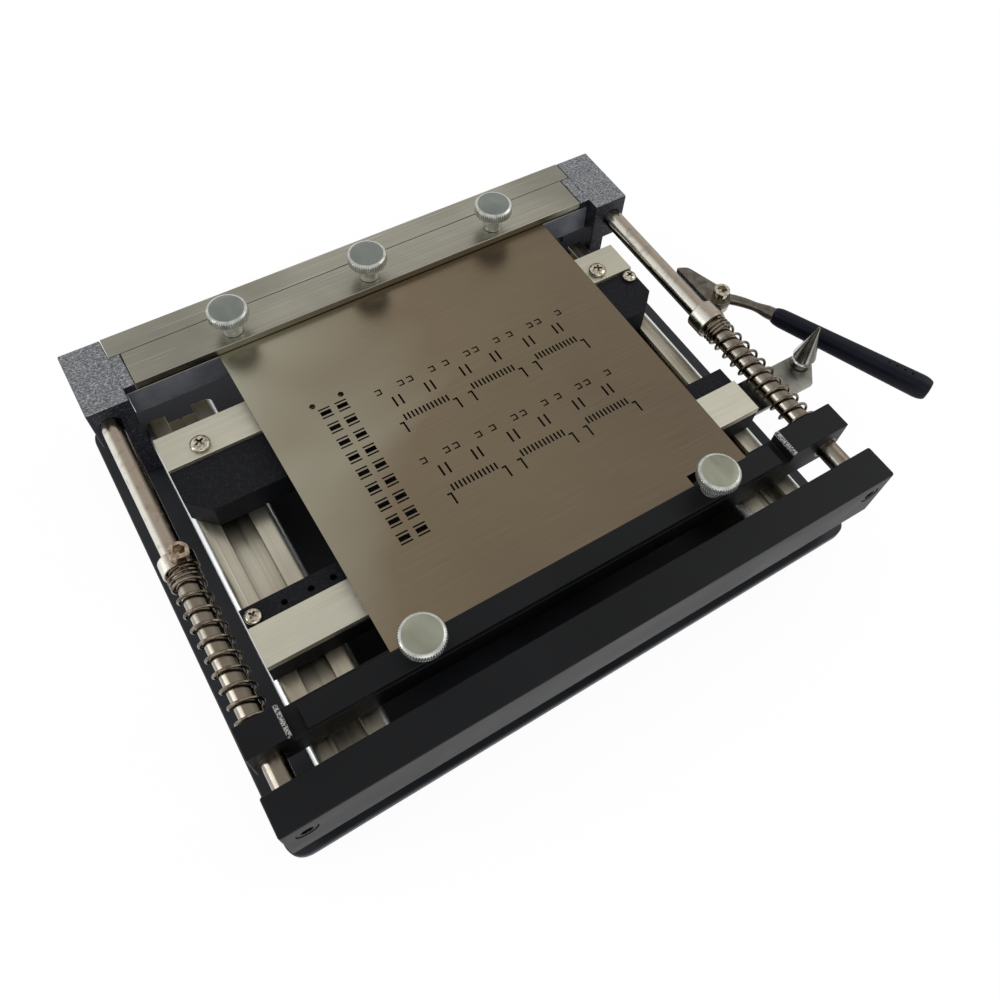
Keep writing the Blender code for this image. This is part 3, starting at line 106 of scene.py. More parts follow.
class Paint:
    """A material under construction: a Principled shader and the patterns that feed it."""

    def __init__(self, name: str, roughness: float, metallic: float) -> None:
        """Starts a material.

        Args:
            name: The material's name.
            roughness: Roughness where no pattern changes it.
            metallic: 1 for bare metal and 0 for coatings, plastics and rubber.
        """
        self.material = bpy.data.materials.new(name)
        self.material.use_nodes = True
        self.tree = self.material.node_tree
        self.shader = self.tree.nodes["Principled BSDF"]
        self.shader.inputs["Roughness"].default_value = roughness
        self.shader.inputs["Metallic"].default_value = metallic
        self.place = self.tree.nodes.new("ShaderNodeTexCoord")

    def stretched(self, scale: Sequence[float]) -> bpy.types.NodeSocket:
        """Object coordinates, scaled along each axis.

        Args:
            scale: Pattern units per metre along X, Y and Z.

        Returns:
            The coordinates' socket.
        """
        mapping = self.tree.nodes.new("ShaderNodeMapping")
        mapping.inputs["Scale"].default_value = scale
        self.tree.links.new(self.place.outputs["Object"], mapping.inputs["Vector"])
        return mapping.outputs["Vector"]

    def noise(self, scale: Sequence[float], detail: float = 2.0, warp: float = 0.0) -> bpy.types.NodeSocket:
        """A cloudy pattern, stretched by its three scales.

        Args:
            scale: Pattern units per metre along X, Y and Z.
            detail: How many finer layers it has.
            warp: How far it is pushed about.

        Returns:
            Its value from 0 to 1.
        """
        noise = self.tree.nodes.new("ShaderNodeTexNoise")
        noise.inputs["Scale"].default_value = 1.0
        noise.inputs["Detail"].default_value = detail
        noise.inputs["Distortion"].default_value = warp
        self.tree.links.new(self.stretched(scale), noise.inputs["Vector"])
        return noise.outputs["Fac"]

    def along(self, axis: Axis) -> bpy.types.NodeSocket:
        """Object coordinates along one axis.

        Args:
            axis: The axis.

        Returns:
            The place along it, in metres.
        """
        split = self.tree.nodes.new("ShaderNodeSeparateXYZ")
        self.tree.links.new(self.place.outputs["Object"], split.inputs["Vector"])
        return split.outputs[axis.value]

    def near(self, axis: Axis, place: float, reach: float) -> bpy.types.NodeSocket:
        """A band across the piece, with a soft edge.

        Args:
            axis: The axis that the band lies across.
            place: The band's middle along that axis.
            reach: Half its width.

        Returns:
            A value that is 1 inside the band and 0 outside.
        """
        value = self.along(axis)
        for operation, second in (("SUBTRACT", place), ("ABSOLUTE", 0.0)):
            node = self.tree.nodes.new("ShaderNodeMath")
            node.operation = operation
            node.inputs[1].default_value = second
            self.tree.links.new(value, node.inputs[0])
            value = node.outputs[0]
        return self.ranged(value, reach * 0.8, reach, 1.0, 0.0)

    def facing(self, axis: Axis) -> bpy.types.NodeSocket:
        """How far the surface faces along one of the piece's own axes.

        Args:
            axis: The axis.

        Returns:
            A value from -1 to 1.
        """
        split = self.tree.nodes.new("ShaderNodeSeparateXYZ")
        self.tree.links.new(self.place.outputs["Normal"], split.inputs["Vector"])
        return split.outputs[axis.value]

    def ranged(self, value: bpy.types.NodeSocket, low: float, high: float, to_low: float = 0.0,
               to_high: float = 1.0) -> bpy.types.NodeSocket:
        """Maps a value's range onto another one, and holds it there.

        Args:
            value: The value's socket.
            low: Where its range starts.
            high: Where its range ends.
            to_low: What the start becomes.
            to_high: What the end becomes.

        Returns:
            The mapped value.
        """
        node = self.tree.nodes.new("ShaderNodeMapRange")
        node.inputs["From Min"].default_value = low
        node.inputs["From Max"].default_value = high
        node.inputs["To Min"].default_value = to_low
        node.inputs["To Max"].default_value = to_high
        self.tree.links.new(value, node.inputs["Value"])
        return node.outputs["Result"]

    def ramp(self, value: bpy.types.NodeSocket, stops: Sequence[tuple[float, Colour]]) -> bpy.types.NodeSocket:
        """Turns a value into a colour.

        Args:
            value: The value's socket.
            stops: Pairs of a value and its colour, in rising order.

        Returns:
            The colour's socket.
        """
        node = self.tree.nodes.new("ShaderNodeValToRGB")
        elements = node.color_ramp.elements
        while len(elements) < len(stops):
            elements.new(1.0)
        for element, (at, colour) in zip(elements, stops):
            element.position = at
            element.color = colour
        self.tree.links.new(value, node.inputs["Fac"])
        return node.outputs["Color"]

    def mixed(self, share: bpy.types.NodeSocket, first: Colour | bpy.types.NodeSocket,
              second: Colour | bpy.types.NodeSocket) -> bpy.types.NodeSocket:
        """Mixes two colours.

        Args:
            share: How much of the second colour shows.
            first: A colour or a colour's socket.
            second: A colour or a colour's socket.

        Returns:
            The mixed colour's socket.
        """
        node = self.tree.nodes.new("ShaderNodeMix")
        node.data_type = "RGBA"
        self.tree.links.new(share, node.inputs[0])
        for socket, colour in ((node.inputs[6], first), (node.inputs[7], second)):
            if isinstance(colour, bpy.types.NodeSocket):
                self.tree.links.new(colour, socket)
            else:
                socket.default_value = colour
        return node.outputs[2]

    def product(self, first: bpy.types.NodeSocket, second: bpy.types.NodeSocket) -> bpy.types.NodeSocket:
        """Multiplies two values.

        Args:
            first: A value's socket.
            second: A value's socket.

        Returns:
            The product's socket.
        """
        node = self.tree.nodes.new("ShaderNodeMath")
        node.operation = "MULTIPLY"
        self.tree.links.new(first, node.inputs[0])
        self.tree.links.new(second, node.inputs[1])
        return node.outputs[0]

    def colour(self, value: bpy.types.NodeSocket) -> None:
        """Feeds the base colour."""
        self.tree.links.new(value, self.shader.inputs["Base Color"])

    def roughness(self, value: bpy.types.NodeSocket) -> None:
        """Feeds the roughness."""
        self.tree.links.new(value, self.shader.inputs["Roughness"])

    def bump(self, height: bpy.types.NodeSocket, strength: float, depth: float) -> None:
        """Adds relief.

        Args:
            height: The relief's height from 0 to 1.
            strength: How much of it shows.
            depth: Its full depth in metres.
        """
        node = self.tree.nodes.new("ShaderNodeBump")
        node.inputs["Strength"].default_value = strength
        node.inputs["Distance"].default_value = depth
        self.tree.links.new(height, node.inputs["Height"])
        self.tree.links.new(node.outputs["Normal"], self.shader.inputs["Normal"])


@dataclass(frozen=True)
class Finish:
    """A finish: its name, the slot of the part's record that it stands for, and how rough it is."""

    name: str
    slot: str
    roughness: float

    def paint(self) -> Paint:
        """Builds the material. Each kind of finish has its own.

        Returns:
            The paint, with every socket fed.
        """
        raise NotImplementedError

    def material(self) -> bpy.types.Material:
        """The finish's material, built once.

        Returns:
            The material.
        """
        if self.name not in bpy.data.materials:
            return self.paint().material
        return bpy.data.materials[self.name]


@dataclass(frozen=True)
class DrawnMetal(Finish):
    """Bare aluminium with fine lines left by the die or the cutter, soft clouds and a few scratches."""

    pale: Colour
    dark: Colour
    axis: Axis
    lines_per_metre: float = 900.0
    line_stretch: float = 5.0
    cloud_scale: float = 14.0
    scratch_colour: Colour = seen(214, 212, 198)
    line_share: float = 0.45
    relief: float = 0.25

    def lined(self, fine: float, coarse: float) -> tuple[float, float, float]:
        """Scales that stretch a pattern along the metal's lines.

        Args:
            fine: Pattern units per metre across the lines.
            coarse: Pattern units per metre along them.

        Returns:
            The scales along X, Y and Z.
        """
        scale = [fine, fine, fine]
        scale[self.axis.value] = coarse
        return (scale[0], scale[1], scale[2])

    def paint(self) -> Paint:
        """Clouds and lines in the colour, and lines in the roughness and the relief.

        Returns:
            The paint, with every socket fed.
        """
        paint = Paint(self.name, self.roughness, 1.0)
        lines = paint.noise(self.lined(self.lines_per_metre, self.line_stretch), 3.0)
        clouds = paint.noise((self.cloud_scale,) * 3, 3.0, 0.4)
        base = paint.mixed(paint.ranged(clouds, 0.35, 0.65), self.dark, self.pale)
        shaded = paint.mixed(paint.ranged(lines, 0.42, 0.62, 0.0, self.line_share), base, self.dark)
        scratches = paint.noise(self.lined(self.lines_per_metre * 1.7, self.line_stretch * 4), 1.0)
        paint.colour(paint.mixed(paint.ranged(scratches, 0.70, 0.76, 0.0, 0.7), shaded, self.scratch_colour))
        paint.roughness(paint.ranged(lines, 0.3, 0.7, self.roughness * 0.8, self.roughness * 1.25))
        paint.bump(lines, self.relief, 0.00006)
        return paint


@dataclass(frozen=True)
class SheetSteel(Finish):
    """The stencil's rolled steel: a soft mirror with a painted sheen, paler to the left and rear, browner to the
    right and front.
    """

    pale: Colour
    brown: Colour
    warm: Colour
    sheen_at: Point
    shade_at: Point

    def paint(self) -> Paint:
        """A painted sheen: a slope from pale to brown across the sheet, broken by wide soft clouds and very fine
        rolling lines.

        Returns:
            The paint, with every socket fed.
        """
        paint = Paint(self.name, self.roughness, 1.0)
        # Painted sheen over the sheet's own tone: paler where it catches the light, darker and browner away from it.
        run = Vector(self.shade_at) - Vector(self.sheen_at)
        steps = paint.tree.nodes.new("ShaderNodeVectorMath")
        steps.operation = "DOT_PRODUCT"
        steps.inputs[1].default_value = (*(run / run.length_squared), 0.0)
        shifted = paint.tree.nodes.new("ShaderNodeVectorMath")
        shifted.operation = "SUBTRACT"
        shifted.inputs[1].default_value = (*self.sheen_at, 0.0)
        paint.tree.links.new(paint.place.outputs["Object"], shifted.inputs[0])
        paint.tree.links.new(shifted.outputs["Vector"], steps.inputs[0])
        clouds = paint.noise((7.0, 9.0, 7.0), 2.0, 0.6)
        added = paint.tree.nodes.new("ShaderNodeMath")
        added.operation = "ADD"
        paint.tree.links.new(steps.outputs["Value"], added.inputs[0])
        paint.tree.links.new(paint.ranged(clouds, 0.3, 0.7, -0.17, 0.17), added.inputs[1])
        tone = paint.ramp(added.outputs[0], [(0.0, self.pale), (0.36, self.warm), (1.0, self.brown)])
        rolling = paint.noise((30.0, 1400.0, 30.0), 2.0)
        paint.colour(paint.mixed(paint.ranged(rolling, 0.45, 0.75, 0.0, 0.08), tone, self.pale))
        paint.roughness(paint.ranged(clouds, 0.3, 0.7, self.roughness * 0.85, self.roughness * 1.2))
        paint.bump(rolling, 0.04, 0.00002)
        return paint


@dataclass(frozen=True)
class Polished(Finish):
    """Bright steel: painted reflection, a pale highlight on one flank, a warm middle and dark rims, and a light
    patina of handling.
    """

    pale: Colour
    warm: Colour
    dark: Colour
    patina: Colour
    across: Axis = Axis.X
    patina_scale: float = 220.0
    dull: Colour = seen(104, 96, 84)
    dull_from: float = -1.0
    dull_run: float = 0.004
    dull_share: float = 0.7

    def paint(self) -> Paint:
        """Painted reflection that turns with the piece's own faces, with patches of patina.

        Returns:
            The paint, with every socket fed.
        """
        paint = Paint(self.name, self.roughness, 1.0)
        turn = paint.ranged(paint.facing(self.across), -1.0, 1.0)
        # Painted reflection: dark rim, pale highlight, warm middle, dark rim as the face turns about the piece.
        painted_reflection = paint.ramp(turn, [
            (0.00, self.dark), (0.006, self.patina), (0.035, self.pale), (0.20, self.pale), (0.34, self.warm),
            (0.66, self.warm), (0.80, self.dark), (1.0, self.dark),
        ])
        patches = paint.noise((self.patina_scale,) * 3, 3.0, 0.5)
        reflection_and_patina = paint.mixed(paint.ranged(patches, 0.52, 0.75, 0.0, 0.55), painted_reflection, self.patina)
        dull_end = self.dull_from - self.dull_run
        front = paint.ranged(paint.along(Axis.Y), dull_end, self.dull_from, self.dull_share, 0.0)
        paint.colour(paint.mixed(front, reflection_and_patina, self.dull))
        paint.roughness(paint.ranged(patches, 0.3, 0.8, self.roughness * 0.8, self.roughness * 1.8))
        paint.bump(patches, 0.05, 0.00004)
        return paint


@dataclass(frozen=True)
class Plated(Finish):
    """Zinc or chrome plating: one pale tone with faint clouds and short handling marks."""

    pale: Colour
    shade: Colour
    cloud_scale: float = 190.0
    mark_scale: float = 900.0
    metallic: float = 1.0

    def paint(self) -> Paint:
        """Clouds in the colour, marks in the roughness and the relief.

        Returns:
            The paint, with every socket fed.
        """
        paint = Paint(self.name, self.roughness, self.metallic)
        clouds = paint.noise((self.cloud_scale,) * 3, 3.0, 0.6)
        marks = paint.noise((self.mark_scale, self.mark_scale * 0.2, self.mark_scale), 2.0)
        base = paint.mixed(paint.ranged(clouds, 0.35, 0.68), self.pale, self.shade)
        paint.colour(paint.mixed(paint.ranged(marks, 0.66, 0.74, 0.0, 0.35), base, self.shade))
        paint.roughness(paint.ranged(marks, 0.3, 0.8, self.roughness * 0.8, self.roughness * 1.5))
        paint.bump(clouds, 0.06, 0.00005)
        return paint


@dataclass(frozen=True)
class Grained(Finish):
    """Black plastic with a layered grain; its upward faces carry a painted sheen, a speckled grey in place of the
    glare.
    """

    side: Colour
    speckle_dark: Colour
    speckle_middle: Colour
    speckle_pale: Colour
    grain_per_metre: float
    # How much painted sheen the upward faces take.
    sheen_share: float
    relief: float
    gloss: float = 0.35
    stretch: float = 0.6

    def paint(self) -> Paint:
        """A painted sheen of grey speckles on the upward faces, fine grain and relief all over.

        Returns:
            The paint, with every socket fed.
        """
        paint = Paint(self.name, self.roughness, 0.0)
        paint.shader.inputs["Specular IOR Level"].default_value = self.gloss
        fine = self.grain_per_metre
        grain = paint.noise((fine * self.stretch, fine, fine), 3.0, 0.8)
        sheen_speckle = paint.ramp(grain, [
            (0.34, self.speckle_dark), (0.50, self.speckle_middle), (0.66, self.speckle_pale),
        ])
        # Painted sheen: the more a face points up, the more of the speckled grey it takes.
        painted_sheen = paint.ranged(paint.facing(Axis.Z), 0.4, 0.9, 0.0, self.sheen_share)
        faint = paint.mixed(paint.ranged(grain, 0.55, 0.75, 0.0, 0.22), self.side, self.speckle_pale)
        paint.colour(paint.mixed(painted_sheen, faint, sheen_speckle))
        paint.bump(grain, 0.55, self.relief)
        return paint


@dataclass(frozen=True)
class BlackCoat(Finish):
    """Anodised or coated black metal: even, faintly blue, with a fine tooth."""

    black: Colour
    lift: Colour
    gloss: float = 0.3
    tooth_per_metre: float = 2400.0

    def paint(self) -> Paint:
        """Soft clouds in the black, and a fine tooth in the relief.

        Returns:
            The paint, with every socket fed.
        """
        paint = Paint(self.name, self.roughness, 0.0)
        paint.shader.inputs["Specular IOR Level"].default_value = self.gloss
        clouds = paint.noise((18.0, 18.0, 30.0), 3.0, 0.5)
        tooth = paint.noise((self.tooth_per_metre,) * 3, 2.0)
        base = paint.mixed(paint.ranged(clouds, 0.35, 0.7), self.black, self.lift)
        paint.colour(paint.mixed(paint.ranged(tooth, 0.6, 0.8, 0.0, 0.25), base, self.lift))
        paint.roughness(paint.ranged(clouds, 0.3, 0.7, self.roughness * 0.9, self.roughness * 1.1))
        paint.bump(tooth, 0.18, 0.00004)
        return paint


@dataclass(frozen=True)
class GlintCoat(BlackCoat):
    """Black coating with painted glints: short pale streaks along the top inner edges of the sliding beam's ears."""

    bare: Colour = seen(196, 196, 192)
    edges: tuple[float, ...] = ()
    edge_reach: float = 0.0011
    top: float = 0.0
    top_reach: float = 0.0016

    def paint(self) -> Paint:
        """Painted glints: short slanting pale streaks in a narrow strip at each edge.

        Returns:
            The paint, with every socket fed.
        """
        paint = super().paint()
        coat = paint.shader.inputs["Base Color"].links[0].from_socket
        streaks = paint.ranged(paint.noise((1100.0, 1700.0, 1100.0), 2.0, 1.2), 0.44, 0.54)
        high = paint.product(paint.near(Axis.Z, self.top, self.top_reach), streaks)
        # Painted glints on the ears' top inner edges; the bare colour is the glints' colour.
        for edge in self.edges:
            coat = paint.mixed(paint.product(paint.near(Axis.X, edge, self.edge_reach), high), coat, self.bare)
        paint.colour(coat)
        return paint


@dataclass(frozen=True)
class Moulded(Finish):
    """Rubber, vinyl or bronze: one colour, a soft cloud and a fine skin."""

    tone: Colour
    lift: Colour
    metallic: float = 0.0
    skin_per_metre: float = 1300.0
    gloss: float = 0.5

    def paint(self) -> Paint:
        """A cloud in the colour and a skin in the relief.

        Returns:
            The paint, with every socket fed.
        """
        paint = Paint(self.name, self.roughness, self.metallic)
        paint.shader.inputs["Specular IOR Level"].default_value = self.gloss
        clouds = paint.noise((90.0,) * 3, 3.0, 0.3)
        skin = paint.noise((self.skin_per_metre,) * 3, 2.0)
        paint.colour(paint.mixed(paint.ranged(clouds, 0.35, 0.7), self.tone, self.lift))
        paint.roughness(paint.ranged(skin, 0.3, 0.7, self.roughness * 0.85, self.roughness * 1.15))
        paint.bump(skin, 0.15, 0.00005)
        return paint


REAR_BAR = DrawnMetal(
    "drawn_rear_bar", "milled_aluminium", 0.34, seen(164, 160, 147), seen(136, 133, 121), Axis.X, 1300.0, 4.0,
    scratch_colour=seen(206, 210, 214), line_share=0.35,
)
BOARD_BAR = DrawnMetal(
    "milled_board_bar", "milled_aluminium", 0.52, seen(204, 200, 184), seen(190, 186, 170), Axis.X, 700.0, 20.0,
    line_share=0.08, relief=0.05,
)
RAIL = DrawnMetal(
    "extruded_rail", "extruded_aluminium", 0.32, seen(192, 187, 170), seen(158, 148, 130), Axis.Y, 500.0, 3.0,
    line_share=0.30, relief=0.12,
)
# Painted highlight: a paler copy of the rail's aluminium for the rounded outer shoulders.
RAIL_HIGHLIGHT = DrawnMetal(
    "rail_edge_highlight", "extruded_aluminium", 0.30, seen(228, 230, 230), seen(192, 194, 196), Axis.Y, 500.0, 3.0,
    line_share=0.15,
)
STENCIL = SheetSteel(
    "rolled_stencil_steel", "stencil_steel", 0.27, seen(166, 162, 144), seen(105, 93, 77), seen(123, 109, 89),
    (-0.115, 0.080), (0.060, -0.060),
)
# Shaft, collars and cone post paint their reflections into the colour, through the Polished finish.
SHAFT = Polished(
    "polished_shaft", "polished_steel", 0.16, seen(220, 217, 206), seen(160, 148, 132), seen(56, 48, 42),
    seen(124, 110, 94), dull_from=-0.003,
)
COLLAR = Polished(
    "polished_collar", "polished_steel", 0.24, seen(222, 220, 210), seen(168, 157, 142), seen(58, 52, 44),
    seen(126, 110, 92),
)
LEVER = Plated("satin_lever_steel", "polished_steel", 0.32, seen(112, 107, 98), seen(78, 72, 64))
POST = Polished(
    "turned_cone_post", "polished_steel", 0.16, seen(192, 192, 186), seen(106, 105, 99), seen(44, 44, 41),
    seen(82, 80, 73),
)
ZINC = Plated("zinc_thumbscrew", "zinc_plated", 0.30, seen(160, 161, 144), seen(128, 129, 114), 45.0)
WORN_ZINC = Plated("worn_zinc_thumbscrew", "zinc_plated", 0.32, seen(136, 140, 134), seen(118, 123, 119), 60.0)
# Painted highlight: a paler copy of the zinc for the thumbscrews' knurled rims and bevels.
KNURL_HIGHLIGHT = Plated("knurl_highlight", "zinc_plated", 0.24, seen(206, 209, 203), seen(168, 171, 165), 300.0, metallic=0.7)
CHROME = Plated("bright_screw", "zinc_plated", 0.18, seen(214, 208, 190), seen(120, 110, 94), 700.0)
BRASSY = Plated("browned_screw", "zinc_plated", 0.26, seen(186, 168, 148), seen(108, 90, 74), 500.0)
LOCK_PLATE = Plated("silvery_lock_plate", "zinc_plated", 0.34, seen(140, 139, 131), seen(98, 97, 89), 45.0)
SPRING = Plated("spring_wire", "spring_steel", 0.26, seen(142, 129, 113), seen(62, 54, 46), 260.0)
# The grained finishes paint a sheen on upward faces: 0.95 of it on the blocks, 0.22 on the ledges.
BLOCK = Grained(
    "grained_end_block", "textured_black_plastic", 0.55, seen(22, 24, 34), seen(84, 86, 91), seen(128, 131, 134),
    seen(196, 199, 202), 1500.0, 0.95, 0.00022,
)
LEDGE = Grained(
    "grained_ledge", "textured_black_plastic", 0.62, seen(18, 19, 23), seen(13, 13, 16), seen(18, 19, 23),
    seen(62, 63, 68), 1100.0, 0.22, 0.00012, 0.16, 1.0,
)
ANODISED = BlackCoat("black_anodised_beam", "black_anodised", 0.48, seen(17, 18, 20), seen(23, 24, 26), 0.16)
COATED = BlackCoat("coated_base", "black_coated_plate", 0.46, seen(30, 32, 37), seen(46, 48, 53), 0.30, 1500.0)
# Painted reflection: the rear tube's front faces take a paler, bluer colour than its drawn top.
TUBE_FACE_REFLECTION = Moulded("tube_face_reflection", "milled_aluminium", 0.5, seen(136, 139, 148), seen(110, 113, 122), 0.3)
RUBBER = Moulded("black_rubber", "rubber", 0.80, seen(28, 28, 28), seen(40, 40, 40))
VINYL = Moulded("navy_grip", "grip_vinyl", 0.46, seen(9, 12, 24), seen(15, 19, 32), gloss=0.14)
BRONZE = Moulded("bronze_bush", "bronze", 0.35, seen(92, 74, 56), seen(66, 52, 38), 1.0)


def circle(centre: Point, radius: float, steps: int = SMALL_STEPS) -> Loop:
    """Points of a circle.

    Args:
        centre: Its centre.
        radius: Its radius.
        steps: How many points it has.

    Returns:
        The points, in order.
    """
    turn = 2 * math.pi / steps
    return [
        (centre[0] + radius * math.cos(i * turn), centre[1] + radius * math.sin(i * turn)) for i in range(steps)
    ]


def rectangle(u_low: float, u_high: float, v_low: float, v_high: float) -> Loop:
    """The four corners of a rectangle."""
    return [(u_low, v_low), (u_high, v_low), (u_high, v_high), (u_low, v_high)]


def filleted(points: Loop, radius: float, closed: bool = True, steps: int = FILLET_STEPS) -> Loop:
    """Rounds the corners of an outline or a profile.

    Args:
        points: The corners, in order.
        radius: How far from each corner its curve starts, at most.
        closed: Whether the last corner joins the first.
        steps: How many stretches each curve has.

    Returns:
        The rounded outline's points.
    """
    rounded: Loop = []
    count = len(points)
    for i, point in enumerate(points):
        if not closed and i in (0, count - 1):
            rounded.append(point)
            continue
        corner, before, after = Vector(point), Vector(points[i - 1]), Vector(points[(i + 1) % count])
        start = corner + (before - corner).normalized() * min(radius, (before - corner).length * 0.48)
        end = corner + (after - corner).normalized() * min(radius, (after - corner).length * 0.48)
        for j in range(steps + 1):
            s = j / steps
            place = start * (1 - s) ** 2 + corner * (2 * s * (1 - s)) + end * s ** 2
            rounded.append((place.x, place.y))
    return rounded


def mesh_of(curve: bpy.types.Curve) -> bpy.types.Mesh:
    """Turns a curve into a mesh and drops the curve's carrier.

    Args:
        curve: The curve, with its bevel or extrusion set.

    Returns:
        Its mesh.
    """
    carrier = bpy.data.objects.new(curve.name, curve)
    bpy.context.scene.collection.objects.link(carrier)
    bpy.context.view_layer.update()
    mesh = bpy.data.meshes.new_from_object(carrier)
    bpy.data.objects.remove(carrier, do_unlink=True)
    bpy.data.curves.remove(curve)
    return mesh


def closed_mesh(bm: bmesh.types.BMesh, name: str) -> bpy.types.Mesh:
    """Welds a mesh under construction, points its faces out and frees it.

    Args:
        bm: The mesh under construction.
        name: The new mesh's name.

    Returns:
        The finished mesh.
    """
    bmesh.ops.remove_doubles(bm, verts=bm.verts, dist=WELD_DISTANCE)
    bmesh.ops.recalc_face_normals(bm, faces=bm.faces)
    mesh = bpy.data.meshes.new(name)
    bm.to_mesh(mesh)
    bm.free()
    return mesh


def drawn(loops: Sequence[Loop], low: float, high: float, axis: Axis = Axis.Z, edge: float = 0.0) -> bpy.types.Mesh:
    """Draws an outline, with any holes, out into a solid with rounded edges.

    Args:
        loops: The outline and the holes, as (x, y) along Z, (x, z) along Y or (y, z) along X.
        low: Where the solid starts along its axis.
        high: Where it ends.
        axis: The axis that it is drawn out along.
        edge: The radius of its edges.

    Returns:
        The solid's mesh.
    """
    curve = bpy.data.curves.new("outline", "CURVE")
    curve.dimensions = "2D"
    curve.fill_mode = "BOTH"
    curve.extrude = (high - low) / 2 - edge
    curve.bevel_depth = edge
    curve.bevel_resolution = EDGE_STEPS
    curve.offset = -edge
    for loop in loops:
        spline = curve.splines.new("POLY")
        spline.points.add(len(loop) - 1)
        for point, (u, v) in zip(spline.points, loop):
            point.co = (u, v, 0.0, 1.0)
        spline.use_cyclic_u = True
    bm = bmesh.new()
    bm.from_mesh(mesh_of(curve))
    middle = (low + high) / 2
    for vert in bm.verts:
        u, v, w = vert.co.x, vert.co.y, vert.co.z + middle
        vert.co = {Axis.Z: (u, v, w), Axis.Y: (u, w, v), Axis.X: (w, u, v)}[axis]
    return closed_mesh(bm, "drawn")


def moved(mesh: bpy.types.Mesh, place: Vector, direction: Vector = Vector((0.0, 0.0, 1.0))) -> bpy.types.Mesh:
    """Turns a mesh's Z axis to a direction and carries it to a place.

    Args:
        mesh: The mesh, which is changed.
        place: Where its origin goes.
        direction: Where its Z axis points.

    Returns:
        The same mesh.
    """
    turn = Vector((0.0, 0.0, 1.0)).rotation_difference(Vector(direction).normalized())
    mesh.transform(Matrix.Translation(place) @ turn.to_matrix().to_4x4())
    return mesh


def turned(profile: Loop, steps: int = ROUND_STEPS, ring: bool = False,
           reach: Callable[[int, float], float] | None = None) -> bpy.types.Mesh:
    """Turns a profile about Z.

    Args:
        profile: Points as (radius, z), from the bottom up. A ring's profile is a closed loop off the axis.
        steps: How many sides the solid has.
        ring: Whether the profile is a closed loop.
        reach: Changes a point's radius at each step, for knurls, from the step and the radius.

    Returns:
        The solid's mesh.
    """
    bm = bmesh.new()
    rows = []
    for radius, z in profile:
        row = []
        for i in range(steps):
            angle = 2 * math.pi * i / steps
            far = reach(i, radius) if reach else radius
            row.append(bm.verts.new((far * math.cos(angle), far * math.sin(angle), z)))
        rows.append(row)
    pairs = list(zip(rows, rows[1:]))
    if ring:
        pairs.append((rows[-1], rows[0]))
    for below, above in pairs:
        for i in range(steps):
            j = (i + 1) % steps
            bm.faces.new((below[i], below[j], above[j], above[i]))
    if not ring:
        bm.faces.new(rows[0])
        bm.faces.new(rows[-1])
    return closed_mesh(bm, "turned")


def rod(start: Vector, end: Vector, radius: float, steps: int = SMALL_STEPS) -> bpy.types.Mesh:
    """A round bar between two places."""
    return moved(turned([(radius, 0.0), (radius, (end - start).length)], steps), start, end - start)


def swept(points: Sequence[Vector], radii: Sequence[float], rounding: int = 4) -> bpy.types.Mesh:
    """A tube along a line of points, with closed ends.

    Args:
        points: The points that it follows.
        radii: Its radius at each point.
        rounding: How fine its section is.

    Returns:
        The tube's mesh.
    """
    curve = bpy.data.curves.new("tube", "CURVE")
    curve.dimensions = "3D"
    curve.bevel_depth = 1.0
    curve.bevel_resolution = rounding
    curve.use_fill_caps = True
    spline = curve.splines.new("POLY")
    spline.points.add(len(points) - 1)
    for point, place, radius in zip(spline.points, points, radii):
        point.co = (*place, 1.0)
        point.radius = radius
    bm = bmesh.new()
    bm.from_mesh(mesh_of(curve))
    return closed_mesh(bm, "swept")


def carved(mesh: bpy.types.Mesh, cutters: Sequence[bpy.types.Mesh], operation: str = "DIFFERENCE") -> bpy.types.Mesh:
    """Cuts meshes out of a mesh, or joins them on, and bakes the result.

    Args:
        mesh: The mesh that is worked on.
        cutters: What is cut out or joined on.
        operation: DIFFERENCE or UNION.

    Returns:
        The result's mesh.
    """
    body = bpy.data.objects.new("carved", mesh)
    bpy.context.scene.collection.objects.link(body)
    tools = []
    for cutter in cutters:
        tool = bpy.data.objects.new("cutter", cutter)
        bpy.context.scene.collection.objects.link(tool)
        boolean = body.modifiers.new("carve", "BOOLEAN")
        boolean.operation = operation
        boolean.solver = "EXACT"
        boolean.object = tool
        tools.append(tool)
    graph = bpy.context.evaluated_depsgraph_get()
    result = bpy.data.meshes.new_from_object(body.evaluated_get(graph))
    for obj in (body, *tools):
        bpy.data.objects.remove(obj, do_unlink=True)
    return result


def softened(node: str, edge: float) -> bpy.types.Mesh:
    """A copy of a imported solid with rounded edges.

    Args:
        node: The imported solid's name.
        edge: The radius of its edges.

    Returns:
        The rounded mesh.
    """
    bm = bmesh.new()
    bm.from_mesh(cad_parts[node].data)
    bmesh.ops.remove_doubles(bm, verts=bm.verts, dist=WELD_DISTANCE)
    bmesh.ops.dissolve_limit(bm, angle_limit=FLAT_ANGLE, verts=bm.verts, edges=bm.edges)
    body = bpy.data.objects.new("softened", closed_mesh(bm, "softened"))
    bpy.context.scene.collection.objects.link(body)
    bevel = body.modifiers.new("edges", "BEVEL")
    bevel.width = edge
    bevel.segments = 3
    bevel.limit_method = "ANGLE"
    bevel.angle_limit = BEVEL_ANGLE
    graph = bpy.context.evaluated_depsgraph_get()
    result = bpy.data.meshes.new_from_object(body.evaluated_get(graph))
    bpy.data.objects.remove(body, do_unlink=True)
    return result


